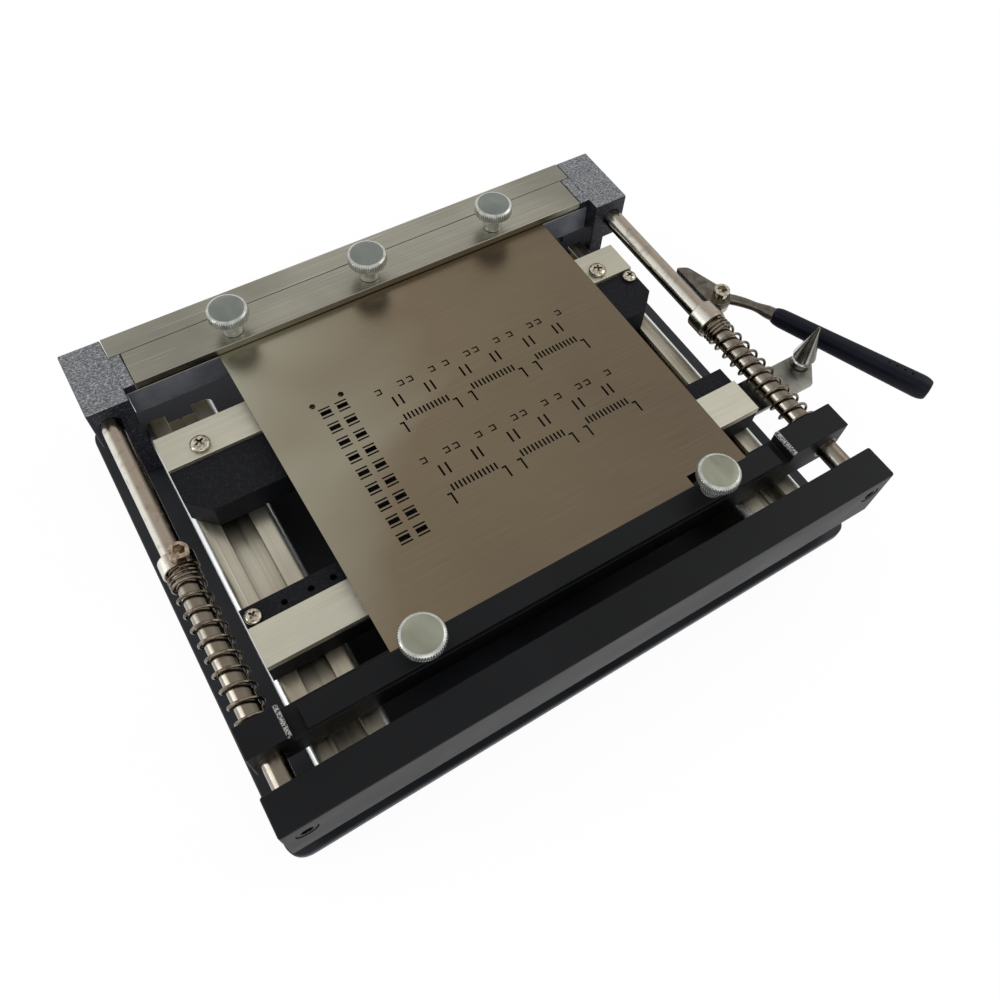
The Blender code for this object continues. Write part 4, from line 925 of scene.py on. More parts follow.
def show(name: str, mesh: bpy.types.Mesh, finish: Finish, body: str | None, *nodes: str) -> bpy.types.Object:
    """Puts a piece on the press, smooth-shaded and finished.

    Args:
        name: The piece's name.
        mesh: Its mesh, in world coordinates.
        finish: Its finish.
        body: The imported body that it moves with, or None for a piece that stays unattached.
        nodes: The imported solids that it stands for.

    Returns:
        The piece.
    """
    mesh.materials.clear()
    mesh.materials.append(finish.material())
    piece = bpy.data.objects.new(name, mesh)
    bpy.context.scene.collection.objects.link(piece)
    mesh.shade_smooth()
    mesh.set_sharp_from_angle(angle=SMOOTH_ANGLE)
    even = piece.modifiers.new("even_light", "WEIGHTED_NORMAL")
    even.keep_sharp = True
    if body is not None:
        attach(piece, body)
    if nodes:
        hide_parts(*nodes)
    LOG.info("%s: %d faces, %s", name, len(mesh.polygons), finish.name)
    return piece


def dress(node: str, finish: Finish) -> None:
    """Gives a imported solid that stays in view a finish.

    Args:
        node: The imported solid's name.
        finish: Its finish.
    """
    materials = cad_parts[node].data.materials
    materials.clear()
    materials.append(finish.material())
    LOG.info("%s: kept, %s", node, finish.name)


def repaint(piece: bpy.types.Object, finish: Finish, chosen: Callable[[bpy.types.MeshPolygon], bool]) -> None:
    """Gives some faces of a piece a second finish.

    Args:
        piece: The piece.
        finish: The second finish.
        chosen: Says whether a face takes it.
    """
    piece.data.materials.append(finish.material())
    last = len(piece.data.materials) - 1
    for face in piece.data.polygons:
        if chosen(face):
            face.material_index = last


def middle(node: str) -> Vector:
    """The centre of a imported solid's box."""
    low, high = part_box(node)
    return (low + high) / 2


@dataclass
class ScrewMaker:
    """Screws of the press: pan heads with a cross recess, and round heads with a hexagon socket."""

    pan_height: float = 0.0026
    pan_depth: float = 0.0022
    slot_width_share: float = 0.15
    slot_length_share: float = 0.60
    slot_taper: float = 0.55
    shank_share: float = 0.45
    crown_steps: int = 8
    rim_share: float = 0.30
    socket_share: float = 0.64
    rim_edge: float = 0.0005
    seat_share: float = 0.96
    crown_power: float = 0.8
    socket_flat_share: float = 0.55
    socket_floor_share: float = 0.35

    def wedge(self, head: float, turn: float) -> bpy.types.Mesh:
        """One of the two tapered wedges that cut a cross recess.

        Args:
            head: The head's diameter.
            turn: How far the wedge is turned, in degrees.

        Returns:
            The cutter's mesh, with its mouth at the origin.
        """
        bm = bmesh.new()
        wide, long = head * self.slot_width_share / 2, head * self.slot_length_share / 2
        spin = Matrix.Rotation(math.radians(turn), 4, "Z")
        corners = []
        for z, share in ((-self.pan_depth, self.slot_taper), (OVERRUN, 1.0)):
            for u, v in rectangle(-long * share, long * share, -wide * share, wide * share):
                corners.append(bm.verts.new(spin @ Vector((u, v, z))))
        low, high = corners[:4], corners[4:]
        bm.faces.new(low)
        bm.faces.new(high)
        for i in range(4):
            j = (i + 1) % 4
            bm.faces.new((low[i], low[j], high[j], high[i]))
        return closed_mesh(bm, "wedge")

    def pan(self, node: str, turn: float) -> bpy.types.Mesh:
        """A pan-head screw in the place of a packed one.

        Args:
            node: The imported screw.
            turn: How far its cross is turned, in degrees.

        Returns:
            The screw's mesh.
        """
        low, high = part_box(node)
        radius = (high.x - low.x) / 2
        seat = high.z - self.pan_height
        rim = seat + self.pan_height * self.rim_share
        profile = [(radius * self.shank_share, low.z), (radius * self.shank_share, seat),
                   (radius * self.seat_share, seat)]
        for i in range(self.crown_steps):
            angle = i / self.crown_steps * math.pi / 2
            profile.append((radius * math.cos(angle) ** self.crown_power, rim + (high.z - rim) * math.sin(angle)))
        centre = Vector(((low.x + high.x) / 2, (low.y + high.y) / 2, 0.0))
        screw = moved(turned(profile, SMALL_STEPS), centre)
        mouth = Vector((centre.x, centre.y, high.z))
        wedges = [moved(self.wedge(radius * 2, turn + quarter), mouth) for quarter in (0.0, 90.0)]
        return carved(screw, wedges)

    def socket(self, place: Vector, direction: Vector, radius: float, height: float, shank: float,
               shank_length: float, turn: float = 0.0) -> bpy.types.Mesh:
        """A round-headed screw with a hexagon socket.

        Args:
            place: Where its head stands.
            direction: Where its head points.
            radius: The head's radius.
            height: The head's height.
            shank: The shank's radius.
            shank_length: The shank's length.
            turn: How far the socket is turned, in degrees.

        Returns:
            The screw's mesh.
        """
        edge = self.rim_edge
        flat, key_radius = radius * self.socket_flat_share, radius * self.socket_share
        head = filleted([(radius, 0.0), (radius, height), (flat, height)], edge, False)
        screw = turned([(shank, -shank_length), (shank, 0.0), *head], SMALL_STEPS)
        key = turned([(key_radius, height * self.socket_floor_share), (key_radius, height + OVERRUN)], HEX_SIDES)
        key.transform(Matrix.Rotation(math.radians(turn), 4, "Z"))
        return moved(carved(screw, [key]), place, direction)


@dataclass
class Base:
    """The base plate with its feet, and the rest with two pads under the front beam."""

    corner: float = 0.0100
    edge: float = 0.0008
    rest_edge: float = 0.0008
    foot_edge: float = 0.0012
    foot_top_share: float = 0.86
    pad_edge: float = 0.0005
    pad_core_share: float = 0.3
    foot_core_share: float = 0.4
    corner_steps: int = 10

    def build(self) -> None:
        """Builds and dresses the base."""
        low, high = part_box("base_plate")
        outline = filleted(rectangle(low.x, high.x, low.y, high.y), self.corner, steps=self.corner_steps)
        plate = drawn([outline], low.z, high.z, edge=self.edge)
        show("base_plate_surface", plate, COATED, "base", "base_plate")
        for end in ("front", "rear"):
            for side in ("left", "right"):
                self.foot(f"foot_{end}_{side}")
        low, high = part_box("front_rest")
        rest = drawn([rectangle(low.x, high.x, low.y, high.y)], low.z, high.z, edge=self.rest_edge)
        show("front_rest_surface", rest, COATED, "base", "front_rest")
        for side in ("left", "right"):
            node = f"rest_pad_{side}"
            low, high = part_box(node)
            radius = (high.x - low.x) / 2
            core = radius * self.pad_core_share
            corners = [(core, low.z), (radius, low.z), (radius, high.z), (core, high.z)]
            profile = filleted(corners, self.pad_edge, False)
            centre = Vector(((low.x + high.x) / 2, (low.y + high.y) / 2, 0.0))
            show(f"{node}_surface", moved(turned(profile, SMALL_STEPS), centre), RUBBER, "base", node)

    def foot(self, node: str) -> None:
        """Builds one tapered rubber foot.

        Args:
            node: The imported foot.
        """
        low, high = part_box(node)
        radius = (high.x - low.x) / 2
        core = radius * self.foot_core_share
        corners = [(core, low.z), (radius, low.z), (radius * self.foot_top_share, high.z), (core, high.z)]
        centre = Vector(((low.x + high.x) / 2, (low.y + high.y) / 2, 0.0))
        mesh = moved(turned(filleted(corners, self.foot_edge, False)), centre)
        show(f"{node}_surface", mesh, RUBBER, "base", node)


@dataclass
class Rails:
    """Two extruded rails with a slot on top, a line along the slot's floor, and two hollow chambers."""

    mouth: float = 0.0130
    mouth_depth: float = 0.0022
    slot: float = 0.0190
    slot_depth: float = 0.0060
    shoulder: float = 0.0048
    lip_edge: float = 0.0004
    wall: float = 0.0030
    web: float = 0.0055
    line: float = 0.0013
    line_depth: float = 0.0010
    end_edge: float = 0.00015
    highlight_facing: float = 0.25
    shoulder_steps: int = 8
    lip_steps: int = 3
    chamber_steps: int = 2

    def section(self, centre: float, low: float, high: float, half: float) -> list[Loop]:
        """The rail's section.

        Args:
            centre: The rail's middle line along X.
            low: Its underside.
            high: Its top.
            half: Half its width.

        Returns:
            The outline and its chambers, as (x, z).
        """
        mouth, slot, line = self.mouth / 2, self.slot / 2, self.line / 2
        lip, floor = high - self.mouth_depth, high - self.slot_depth
        shoulder = filleted([(half, low), (half, high), (mouth, high)], self.shoulder, False, self.shoulder_steps)
        lip_corners = [shoulder[-2], (mouth, high), (mouth, lip), (slot, lip)]
        groove = filleted(lip_corners, self.lip_edge, False, self.lip_steps)[1:]
        floor_line = [(slot, floor), (line, floor), (line, floor - self.line_depth)]
        right = [*shoulder[:-1], *groove, *floor_line]
        outline = [(centre + x, z) for x, z in right] + [(centre - x, z) for x, z in reversed(right)]
        bottom, top = low + self.wall, floor - self.wall
        inner = half - self.wall
        chambers = [
            rectangle(centre - inner, centre - self.web, bottom, top),
            rectangle(centre + self.web, centre + inner, bottom, top),
        ]
        return [outline, *(filleted(chamber, self.lip_edge, steps=self.chamber_steps) for chamber in chambers)]

    def build(self) -> None:
        """Builds and dresses both rails, and dresses the screws under them."""
        for side in ("left", "right"):
            node = f"rail_{side}"
            low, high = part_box(node)
            centre = (low.x + high.x) / 2
            section = self.section(centre, low.z, high.z, (high.x - low.x) / 2)
            mesh = drawn(section, low.y, high.y, Axis.Y, self.end_edge)
            rail = show(f"{node}_surface", mesh, RAIL, "base", node)
            rim = high.z - self.shoulder
            # The rounded shoulders outside the slot take the painted highlight.
            repaint(rail, RAIL_HIGHLIGHT, lambda face: face.center.z > rim and abs(face.normal.x) > self.highlight_facing
                    and abs(face.center.x - centre) > self.slot / 2)
            for end in ("front", "rear"):
                dress(f"rail_screw_{end}_{side}", CHROME)


@dataclass
class BoardStops:
    """The two black ledges, their flat bars and screws, the lock plate and the cone post."""

    ledge_edge: float = 0.0005
    bar_edge: float = 0.00035
    plate_edge: float = 0.0004
    cone_tip: float = 0.0006
    cone_edge: float = 0.0005
    waist: float = 0.0036
    collar_height: float = 0.0030
    lock_slant: float = -40.0
    lock_steps: int = 24
    nut_share: float = 0.72
    cone_root_share: float = 0.86
    cone_waist_share: float = 0.66
    stud_share: float = 0.6
    cone_steps: int = 3
    turns: tuple[float, ...] = (24.0, 62.0, 10.0, 38.0)

    def build(self, screws: ScrewMaker) -> None:
        """Builds and dresses both stops.

        Args:
            screws: Makes the screws.
        """
        bodies = {"rear": "base", "front": "front_stop"}
        for end, body in bodies.items():
            show(f"{end}_ledge_surface", softened(f"{end}_ledge", self.ledge_edge), LEDGE, body, f"{end}_ledge")
            node = f"{end}_board_bar"
            low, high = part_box(node)
            bar = drawn([rectangle(low.x, high.x, low.y, high.y)], low.z, high.z, edge=self.bar_edge)
            show(f"{node}_surface", bar, BOARD_BAR, body, node)
        names = ("rear_bar_screw_left", "rear_bar_screw_right", "rear_ledge_screw", "front_ledge_screw")
        for node, turn in zip(names, self.turns):
            body = "front_stop" if node.startswith("front") else "base"
            show(f"{node}_fine", screws.pan(node, turn), CHROME, body, node)
        self.lock()

    def lock(self) -> None:
        """Builds the lock plate and the cone post that stands on it."""
        low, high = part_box("bar_lock_plate")
        centre = middle("cone_post")
        boss, slant = high.y - centre.y, math.radians(self.lock_slant)
        touch = centre.x + boss * math.cos(slant)
        corner = touch + (centre.y + boss * math.sin(slant) - low.y) * math.tan(slant)
        outline = [(low.x, high.y), (low.x, low.y), (corner, low.y)]
        for i in range(self.lock_steps + 1):
            angle = slant + (math.pi / 2 - slant) * i / self.lock_steps
            outline.append((centre.x + boss * math.cos(angle), centre.y + boss * math.sin(angle)))
        plate = drawn([outline], low.z, high.z, edge=self.plate_edge)
        show("bar_lock_plate_surface", plate, LOCK_PLATE, "front_stop", "bar_lock_plate")
        post_low, post_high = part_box("cone_post")
        wide = (post_high.x - post_low.x) / 2
        foot = high.z + self.bar_edge
        rise = foot + self.collar_height
        nut_low, nut_top = post_low.z, low.z - self.bar_edge
        stand = Vector((centre.x, centre.y, 0.0))
        nut = moved(turned([(wide * self.nut_share, nut_low), (wide * self.nut_share, nut_top)], HEX_SIDES), stand)
        stud, root = self.waist * self.stud_share, wide * self.cone_root_share
        corners = [
            (stud, nut_low), (stud, foot), (root, foot), (root, rise),
            (wide * self.cone_waist_share, rise + self.cone_edge * 2), (wide, rise + self.collar_height),
            (self.cone_tip, post_high.z),
        ]
        cone = moved(turned(filleted(corners, self.cone_edge, False, self.cone_steps)), stand)
        show("cone_post_fine", carved(cone, [nut], "UNION"), POST, "front_stop", "cone_post")


@dataclass
class HingeEnds:
    """The hinge brackets and pins, and the two grained end blocks of the frame."""

    bracket_edge: float = 0.0006
    block_edge: float = 0.0011
    pin_edge: float = 0.0006
    pin_head: float = 0.0030
    pin_core_share: float = 0.3
    pin_shank_share: float = 0.6

    def build(self) -> None:
        """Builds and dresses both ends."""
        for side, sign in (("left", -1.0), ("right", 1.0)):
            bracket = f"hinge_bracket_{side}"
            show(f"{bracket}_surface", softened(bracket, self.bracket_edge), COATED, "base", bracket)
            block = f"rear_block_{side}"
            show(f"{block}_surface", softened(block, self.block_edge), BLOCK, "frame", block)
            pin = f"hinge_pin_{side}"
            low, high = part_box(pin)
            length, radius = high.x - low.x, (high.z - low.z) / 2
            centre = middle(pin)
            under = length - self.pin_head
            core, shank = radius * self.pin_core_share, radius * self.pin_shank_share
            head = filleted([(radius, under), (radius, length), (core, length)], self.pin_edge, False)
            profile = [(shank, 0.0), (shank, under), *head]
            start = Vector((low.x if sign > 0 else high.x, centre.y, centre.z))
            mesh = moved(turned(profile, SMALL_STEPS), start, Vector((sign, 0.0, 0.0)))
            show(f"{pin}_fine", mesh, COLLAR, "base", pin)


@dataclass
class Thumbscrews:
    """Thumbscrews with a straight-knurled head, a plain neck and a slightly domed top."""

    head: float = 0.0055
    neck: float = 0.0050
    shank: float = 0.0025
    shank_length: float = 0.0100
    teeth: int = 54
    tooth_depth: float = 0.00045
    top_edge: float = 0.0010
    low_edge: float = 0.0006
    dome: float = 0.0003
    steps_per_tooth: int = 4
    flat_facing: float = 0.97
    bevel_reach: float = 1.4
    dome_outer_share: float = 0.6
    dome_inner_share: float = 0.2
    dome_rise_share: float = 0.35
    knurl_reach: float = 0.7
    rim_steps: int = 3

    def build(self) -> None:
        """Builds all five thumbscrews."""
        for side in ("left", "middle", "right"):
            self.one(f"rear_thumbscrew_{side}", f"rear_knob_{side}", WORN_ZINC)
        for side in ("left", "right"):
            self.one(f"front_thumbscrew_{side}", f"front_knob_{side}", ZINC)

    def one(self, node: str, body: str, finish: Finish) -> None:
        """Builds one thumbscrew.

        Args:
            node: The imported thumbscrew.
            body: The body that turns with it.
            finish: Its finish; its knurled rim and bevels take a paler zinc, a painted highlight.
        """
        low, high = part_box(node)
        radius = (high.x - low.x) / 2
        under = high.z - self.head
        seat = low.z + self.shank_length
        top = high.z - self.dome
        plain = [(self.shank, low.z), (self.shank, seat), (self.neck, seat), (self.neck, under)]
        rim = filleted([
            (self.neck, under), (radius - self.low_edge, under), (radius, under + self.low_edge),
            (radius, top - self.top_edge), (radius - self.top_edge * self.bevel_reach, top),
            (radius * self.dome_outer_share, high.z - self.dome * self.dome_rise_share),
            (radius * self.dome_inner_share, high.z),
        ], self.low_edge, False, self.rim_steps)
        knurled = radius - self.low_edge * self.knurl_reach

        def reach(step: int, far: float) -> float:
            """Draws in every other half tooth of the rim."""
            cut = self.tooth_depth if step % self.steps_per_tooth in (0, 1) else 0.0
            return far - cut if far >= knurled else far

        steps = self.teeth * self.steps_per_tooth
        mesh = turned([*plain, *rim[1:]], steps, reach=reach)
        centre = middle(node)
        knob = show(f"{node}_fine", moved(mesh, Vector((centre.x, centre.y, 0.0))), finish, body, node)
        # Painted highlight on the knurled rim and bevels.
        repaint(knob, KNURL_HIGHLIGHT, lambda face: face.normal.z < self.flat_facing)


@dataclass
class RearClamp:
    """The drawn rear tube with its step, and the clamp strip that lies in it."""

    tube_edge: float = 0.0006
    strip_edge: float = 0.00045
    front_facing: float = 0.9

    def build(self) -> None:
        """Builds and dresses the tube and the strip."""
        tube = show("rear_tube_surface", softened("rear_tube", self.tube_edge), REAR_BAR, "frame", "rear_tube")
        # The front faces take the painted reflection.
        repaint(tube, TUBE_FACE_REFLECTION, lambda face: face.normal.y < -self.front_facing)
        low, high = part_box("rear_clamp_strip")
        strip = drawn([rectangle(low.x, high.x, low.y, high.y)], low.z, high.z, edge=self.strip_edge)
        show("rear_clamp_strip_surface", strip, REAR_BAR, "rear_clamp", "rear_clamp_strip")


@dataclass
class Stencil:
    """The thin sheet, with all its openings and the notches round the front thumbscrews."""

    mark: float = 0.0029
    mark_left: float = 0.0253
    mark_spacing: float = 0.0146
    mark_forward: float = 0.0488
    column_left: float = 0.0294
    column_spacing: float = 0.0084
    column_forward: float = 0.0549
    column_pitch: float = 0.0094
    column_groups: int = 9
    pad_width: float = 0.0053
    pad_length: float = 0.0024
    line_width: float = 0.0058
    line_length: float = 0.0008
    line_offset: float = 0.0025
    unit_left: float = 0.0710
    unit_forward: float = 0.0752
    unit_across: float = 0.03635
    unit_down: float = 0.0436
    pins: int = 12
    pin_pitch: float = 0.00204
    pin_width: float = 0.0009
    pin_length: float = 0.0038
    tab_reach: float = 0.0141
    tab_width: float = 0.0024
    tab_length: float = 0.0065
    tab_line: float = 0.0009
    tab_drop: float = 0.0018
    slot_places: tuple[float, ...] = (-0.0111, -0.0077, 0.0060, 0.0092)
    slot_width: float = 0.0010
    slot_length: float = 0.0062
    slot_rise: float = 0.0101
    hook_places: tuple[float, ...] = (-0.0155, -0.0036, 0.0013, 0.0133)
    hook_width: float = 0.0030
    hook_length: float = 0.0033
    hook_line: float = 0.0007
    hook_rise: float = 0.0185
    notch_width: float = 0.0066
    notch_spacing: float = 0.0730
    notch_depth: float = 0.0160

    def pad(self, x: float, y: float, width: float, length: float) -> Loop:
        """A rectangular opening round a centre."""
        return rectangle(x - width / 2, x + width / 2, y - length / 2, y + length / 2)

    def tab(self, x: float, top: float) -> Loop:
        """An angle-shaped opening: a short bar across the top and a long one down its right side.

        Args:
            x: Its middle along X.
            top: Its rear edge along Y.

        Returns:
            Its corners, in order.
        """
        low, high = x - self.tab_width / 2, x + self.tab_width / 2
        inner, under, bottom = high - self.tab_line, top - self.tab_line, top - self.tab_length
        return [(low, top), (low, under), (inner, under), (inner, bottom), (high, bottom), (high, top)]

    def hook(self, x: float, y: float) -> Loop:
        """A small opening of three bars, open to the left.

        Args:
            x: Its middle along X.
            y: Its middle along Y.

        Returns:
            Its corners, in order.
        """
        low, high = x - self.hook_width / 2, x + self.hook_width / 2
        bottom, top, line = y - self.hook_length / 2, y + self.hook_length / 2, self.hook_line
        return [
            (low, top), (low, top - line), (high - line, top - line), (high - line, bottom + line),
            (low, bottom + line), (low, bottom), (high, bottom), (high, top),
        ]

    def openings(self, left: float, strip_front: float) -> list[Loop]:
        """All the openings.

        Args:
            left: The sheet's left edge.
            strip_front: The clamp strip's front edge, from which the rows are set out.

        Returns:
            One loop for each opening.
        """
        holes = []
        for i in range(2):
            mark = (left + self.mark_left + i * self.mark_spacing, strip_front - self.mark_forward)
            holes.append(circle(mark, self.mark / 2))
            x = left + self.column_left + i * self.column_spacing
            for j in range(self.column_groups):
                y = strip_front - self.column_forward - j * self.column_pitch
                holes.append(self.pad(x, y, self.pad_width, self.pad_length))
                for side in (-1, 1):
                    holes.append(self.pad(x, y + side * self.line_offset, self.line_width, self.line_length))
        for i in range(3):
            for j in range(2):
                x = left + self.unit_left + i * self.unit_across
                y = strip_front - self.unit_forward - j * self.unit_down
                holes += self.unit(x, y)
        return holes

    def unit(self, x: float, y: float) -> list[Loop]:
        """One group: a row of pins between two tabs, four slots and four hooks behind it.

        Args:
            x: The pin row's centre along X.
            y: The pin row's centre along Y.

        Returns:
            One loop for each opening.
        """
        first = x - (self.pins - 1) / 2 * self.pin_pitch
        holes = [self.pad(first + k * self.pin_pitch, y, self.pin_width, self.pin_length) for k in range(self.pins)]
        holes += [self.tab(x + side * self.tab_reach, y - self.tab_drop) for side in (-1, 1)]
        holes += [self.pad(x + u, y + self.slot_rise, self.slot_width, self.slot_length) for u in self.slot_places]
        holes += [self.hook(x + u, y + self.hook_rise) for u in self.hook_places]
        return holes

    def build(self) -> None:
        """Builds and dresses the sheet."""
        low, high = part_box("stencil")
        strip_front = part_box("rear_clamp_strip")[0].y
        centre = middle("rear_thumbscrew_middle").x
        outline = [(low.x, high.y), (low.x, low.y)]
        for side in (-1, 1):
            x = centre + side * self.notch_spacing
            outline += [(x - self.notch_width / 2, low.y), (x - self.notch_width / 2, low.y + self.notch_depth)]
            outline += [(x + self.notch_width / 2, low.y + self.notch_depth), (x + self.notch_width / 2, low.y)]
        outline += [(high.x, low.y), (high.x, high.y)]
        sheet = drawn([outline, *self.openings(low.x, strip_front)], low.z, high.z)
        show("stencil_fine", sheet, STENCIL, "frame", "stencil")


@dataclass
class Shafts:
    """The two shafts, their collars, the left collar's screw and the screws at the shafts' ends."""

    shaft_edge: float = 0.0006
    collar_bore: float = 0.0052
    right_collar_width: float = 0.0105
    collar_edge: float = 0.0008
    lug_edge: float = 0.0005
    screw_head: float = 0.00425
    screw_height: float = 0.0050
    screw_tilt: float = 15.0
    screw_shank: float = 0.0024
    pocket_depth: float = 0.0006
    pocket_reach: float = 0.0040
    pocket_gap: float = 0.0003
    socket_turn: float = 12.0
    lug_thick: float = 0.0040
    lug_root_share: float = 0.80
    lug_start: float = -110.0
    lug_sweep: float = 200.0
    lug_steps: int = 20
    end_head_height: float = 0.0030
    core_share: float = 0.3
    shaft_steps: int = 96
    edge_steps: int = 3

    def collar(self, side: str) -> bpy.types.Mesh:
        """A finely turned stop collar. The right one is as thick as the left one but has a width of its own.

        Args:
            side: The press's side that it is on.

        Returns:
            The collar's mesh.
        """
        low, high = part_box("collar_left")
        outer = (high.z - low.z) / 2
        shaft = middle(f"shaft_{side}")
        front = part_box(f"collar_{side}")[0].y
        rear = high.y if side == "left" else front + self.right_collar_width
        width = rear - front
        corners = [(self.collar_bore, 0.0), (outer, 0.0), (outer, width), (self.collar_bore, width)]
        ring = turned(filleted(corners, self.collar_edge), ring=True)
        return moved(ring, Vector((shaft.x, rear, shaft.z)), Vector((0.0, -1.0, 0.0)))

    def build(self, screws: ScrewMaker) -> None:
        """Builds and dresses the shafts and what sits on them.

        Args:
            screws: Makes the screws.
        """
        for side in ("left", "right"):
            node = f"shaft_{side}"
            low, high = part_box(node)
            radius, length = (high.x - low.x) / 2, high.y - low.y
            core = radius * self.core_share
            corners = [(core, 0.0), (radius, 0.0), (radius, length), (core, length)]
            mesh = turned(filleted(corners, self.shaft_edge, False, self.edge_steps), self.shaft_steps)
            centre = middle(node)
            moved(mesh, Vector((centre.x, high.y, centre.z)), Vector((0.0, -1.0, 0.0)))
            show(f"{node}_fine", mesh, SHAFT, "frame", node)
        shaft = middle("shaft_left")
        tilt = math.radians(self.screw_tilt)
        direction = Vector((math.sin(tilt), 0.0, math.cos(tilt)))
        low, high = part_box("collar_left")
        reach = (high.z - low.z) / 2 - self.pocket_depth
        seat = Vector((shaft.x, (low.y + high.y) / 2, shaft.z)) + direction * reach
        pocket = rod(seat, seat + direction * self.pocket_reach, self.screw_head + self.pocket_gap)
        show("collar_left_fine", carved(self.collar("left"), [pocket]), COLLAR, "frame", "collar_left")
        sunk = reach - (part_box("shaft_left")[1].z - shaft.z) - self.pocket_gap
        screw = screws.socket(seat, direction, self.screw_head, self.screw_height, self.screw_shank, sunk,
                              self.socket_turn)
        show("collar_screw_left_fine", screw, BRASSY, "frame", "collar_screw_left")
        self.right_collar()
        for side in ("left", "right"):
            node = f"shaft_end_screw_{side}"
            low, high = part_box(node)
            centre = middle(node)
            seat = Vector((centre.x, low.y + self.end_head_height, centre.z))
            head = (high.x - low.x) / 2
            mesh = screws.socket(seat, Vector((0.0, -1.0, 0.0)), head, self.end_head_height, self.screw_shank,
                                 high.y - seat.y)
            show(f"{node}_fine", mesh, ANODISED, "frame", node)

    def right_collar(self) -> None:
        """Builds the right collar with the lug that carries the side lever."""
        pivot = middle("lever_pivot_screw")
        shaft = middle("shaft_right")
        low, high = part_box("collar_right")
        top = low.z + self.lug_thick
        radius = high.x - pivot.x
        rear = low.y + self.right_collar_width - self.collar_edge
        root = shaft.x + self.collar_bore * self.lug_root_share
        outline = [(root, rear), (root, low.y + self.collar_edge)]
        for i in range(self.lug_steps + 1):
            angle = math.radians(self.lug_start + self.lug_sweep * i / self.lug_steps)
            outline.append((pivot.x + radius * math.cos(angle), pivot.y + radius * math.sin(angle)))
        lug = drawn([outline], low.z, top, edge=self.lug_edge)
        mesh = carved(self.collar("right"), [lug], "UNION")
        show("collar_right_fine", mesh, COLLAR, "frame", "collar_right")


@dataclass
class Springs:
    """The two compression springs between the collars and the sliding beam."""

    wire: float = 0.0014
    coil_gap: float = 0.0006
    close_curls: int = 3
    front_curls: int = 1
    points_per_curl: int = 36
    curls: tuple[tuple[str, int], ...] = (("left", 13), ("right", 14))

    def path(self, low: Vector, high: Vector, curls: int) -> list[Vector]:
        """The wire's centre line.

        Args:
            low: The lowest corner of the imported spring's box.
            high: Its highest corner.
            curls: How many curls the spring has.

        Returns:
            Its points, from the collar to the beam.
        """
        x, z = (low.x + high.x) / 2, (low.z + high.z) / 2
        radius = (high.z - low.z - self.wire) / 2
        close = self.wire + self.coil_gap
        start, end = high.y - self.wire / 2, low.y + self.wire / 2
        open_curls = curls - self.close_curls - self.front_curls
        pitch = (start - end - (self.close_curls + self.front_curls) * close) / open_curls
        points = []
        for i in range(curls * self.points_per_curl + 1):
            turns = i / self.points_per_curl
            opened = min(max(turns - self.close_curls, 0.0), open_curls)
            along = (turns - opened) * close + opened * pitch
            angle = 2 * math.pi * turns
            points.append(Vector((x + radius * math.sin(angle), start - along, z + radius * math.cos(angle))))
        return points

    def build(self) -> None:
        """Builds both springs and bakes them in place."""
        for side, curls in self.curls:
            node = f"spring_{side}"
            low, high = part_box(node)
            points = self.path(low, high, curls)
            mesh = swept(points, [self.wire / 2] * len(points))
            spring = show(f"{node}_fine", mesh, SPRING, None, node)
            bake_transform(spring)


@dataclass
class Slider:
    """The sliding tension beam with its bushes, and the front clamp bar."""

    beam_edge: float = 0.0008
    bar_edge: float = 0.0006
    bush_wall: float = 0.0012
    ear_gap: float = 0.0060
    glint_inset: float = 0.0009

    def build(self) -> None:
        """Builds and dresses the sliding beam and the clamp bar."""
        bar_low, bar_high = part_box("front_clamp_bar")
        ears = (bar_low.x - self.ear_gap - self.glint_inset, bar_high.x + self.ear_gap + self.glint_inset)
        # The slide beam's ears take painted glints along their top inner edges.
        glinted_coat = GlintCoat("slide_beam_glints", ANODISED.slot, ANODISED.roughness, ANODISED.black, ANODISED.lift,
                            ANODISED.gloss, edges=ears, top=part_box("slide_beam")[1].z)
        show("slide_beam_surface", softened("slide_beam", self.beam_edge), glinted_coat, "slider", "slide_beam")
        for side in ("left", "right"):
            node = f"slide_bush_{side}"
            low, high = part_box(node)
            outer, width = (high.z - low.z) / 2, high.y - low.y
            corners = [(outer - self.bush_wall, 0.0), (outer, 0.0), (outer, width), (outer - self.bush_wall, width)]
            centre = middle(node)
            ring = moved(turned(corners, ring=True), Vector((centre.x, high.y, centre.z)), Vector((0.0, -1.0, 0.0)))
            show(f"{node}_fine", ring, BRONZE, "slider", node)
        bar = drawn([rectangle(bar_low.x, bar_high.x, bar_low.y, bar_high.y)], bar_low.z, bar_high.z,
                    edge=self.bar_edge)
        show("front_clamp_bar_surface", bar, ANODISED, "front_clamp", "front_clamp_bar")


@dataclass
class FrontBeam:
    """The front beam, with the shafts' bores in its rear face and the end screws' in its front face."""

    edge: float = 0.0010

    def build(self) -> None:
        """Builds and dresses the front beam."""
        show("front_beam_surface", softened("front_beam", self.edge), ANODISED, "frame", "front_beam")


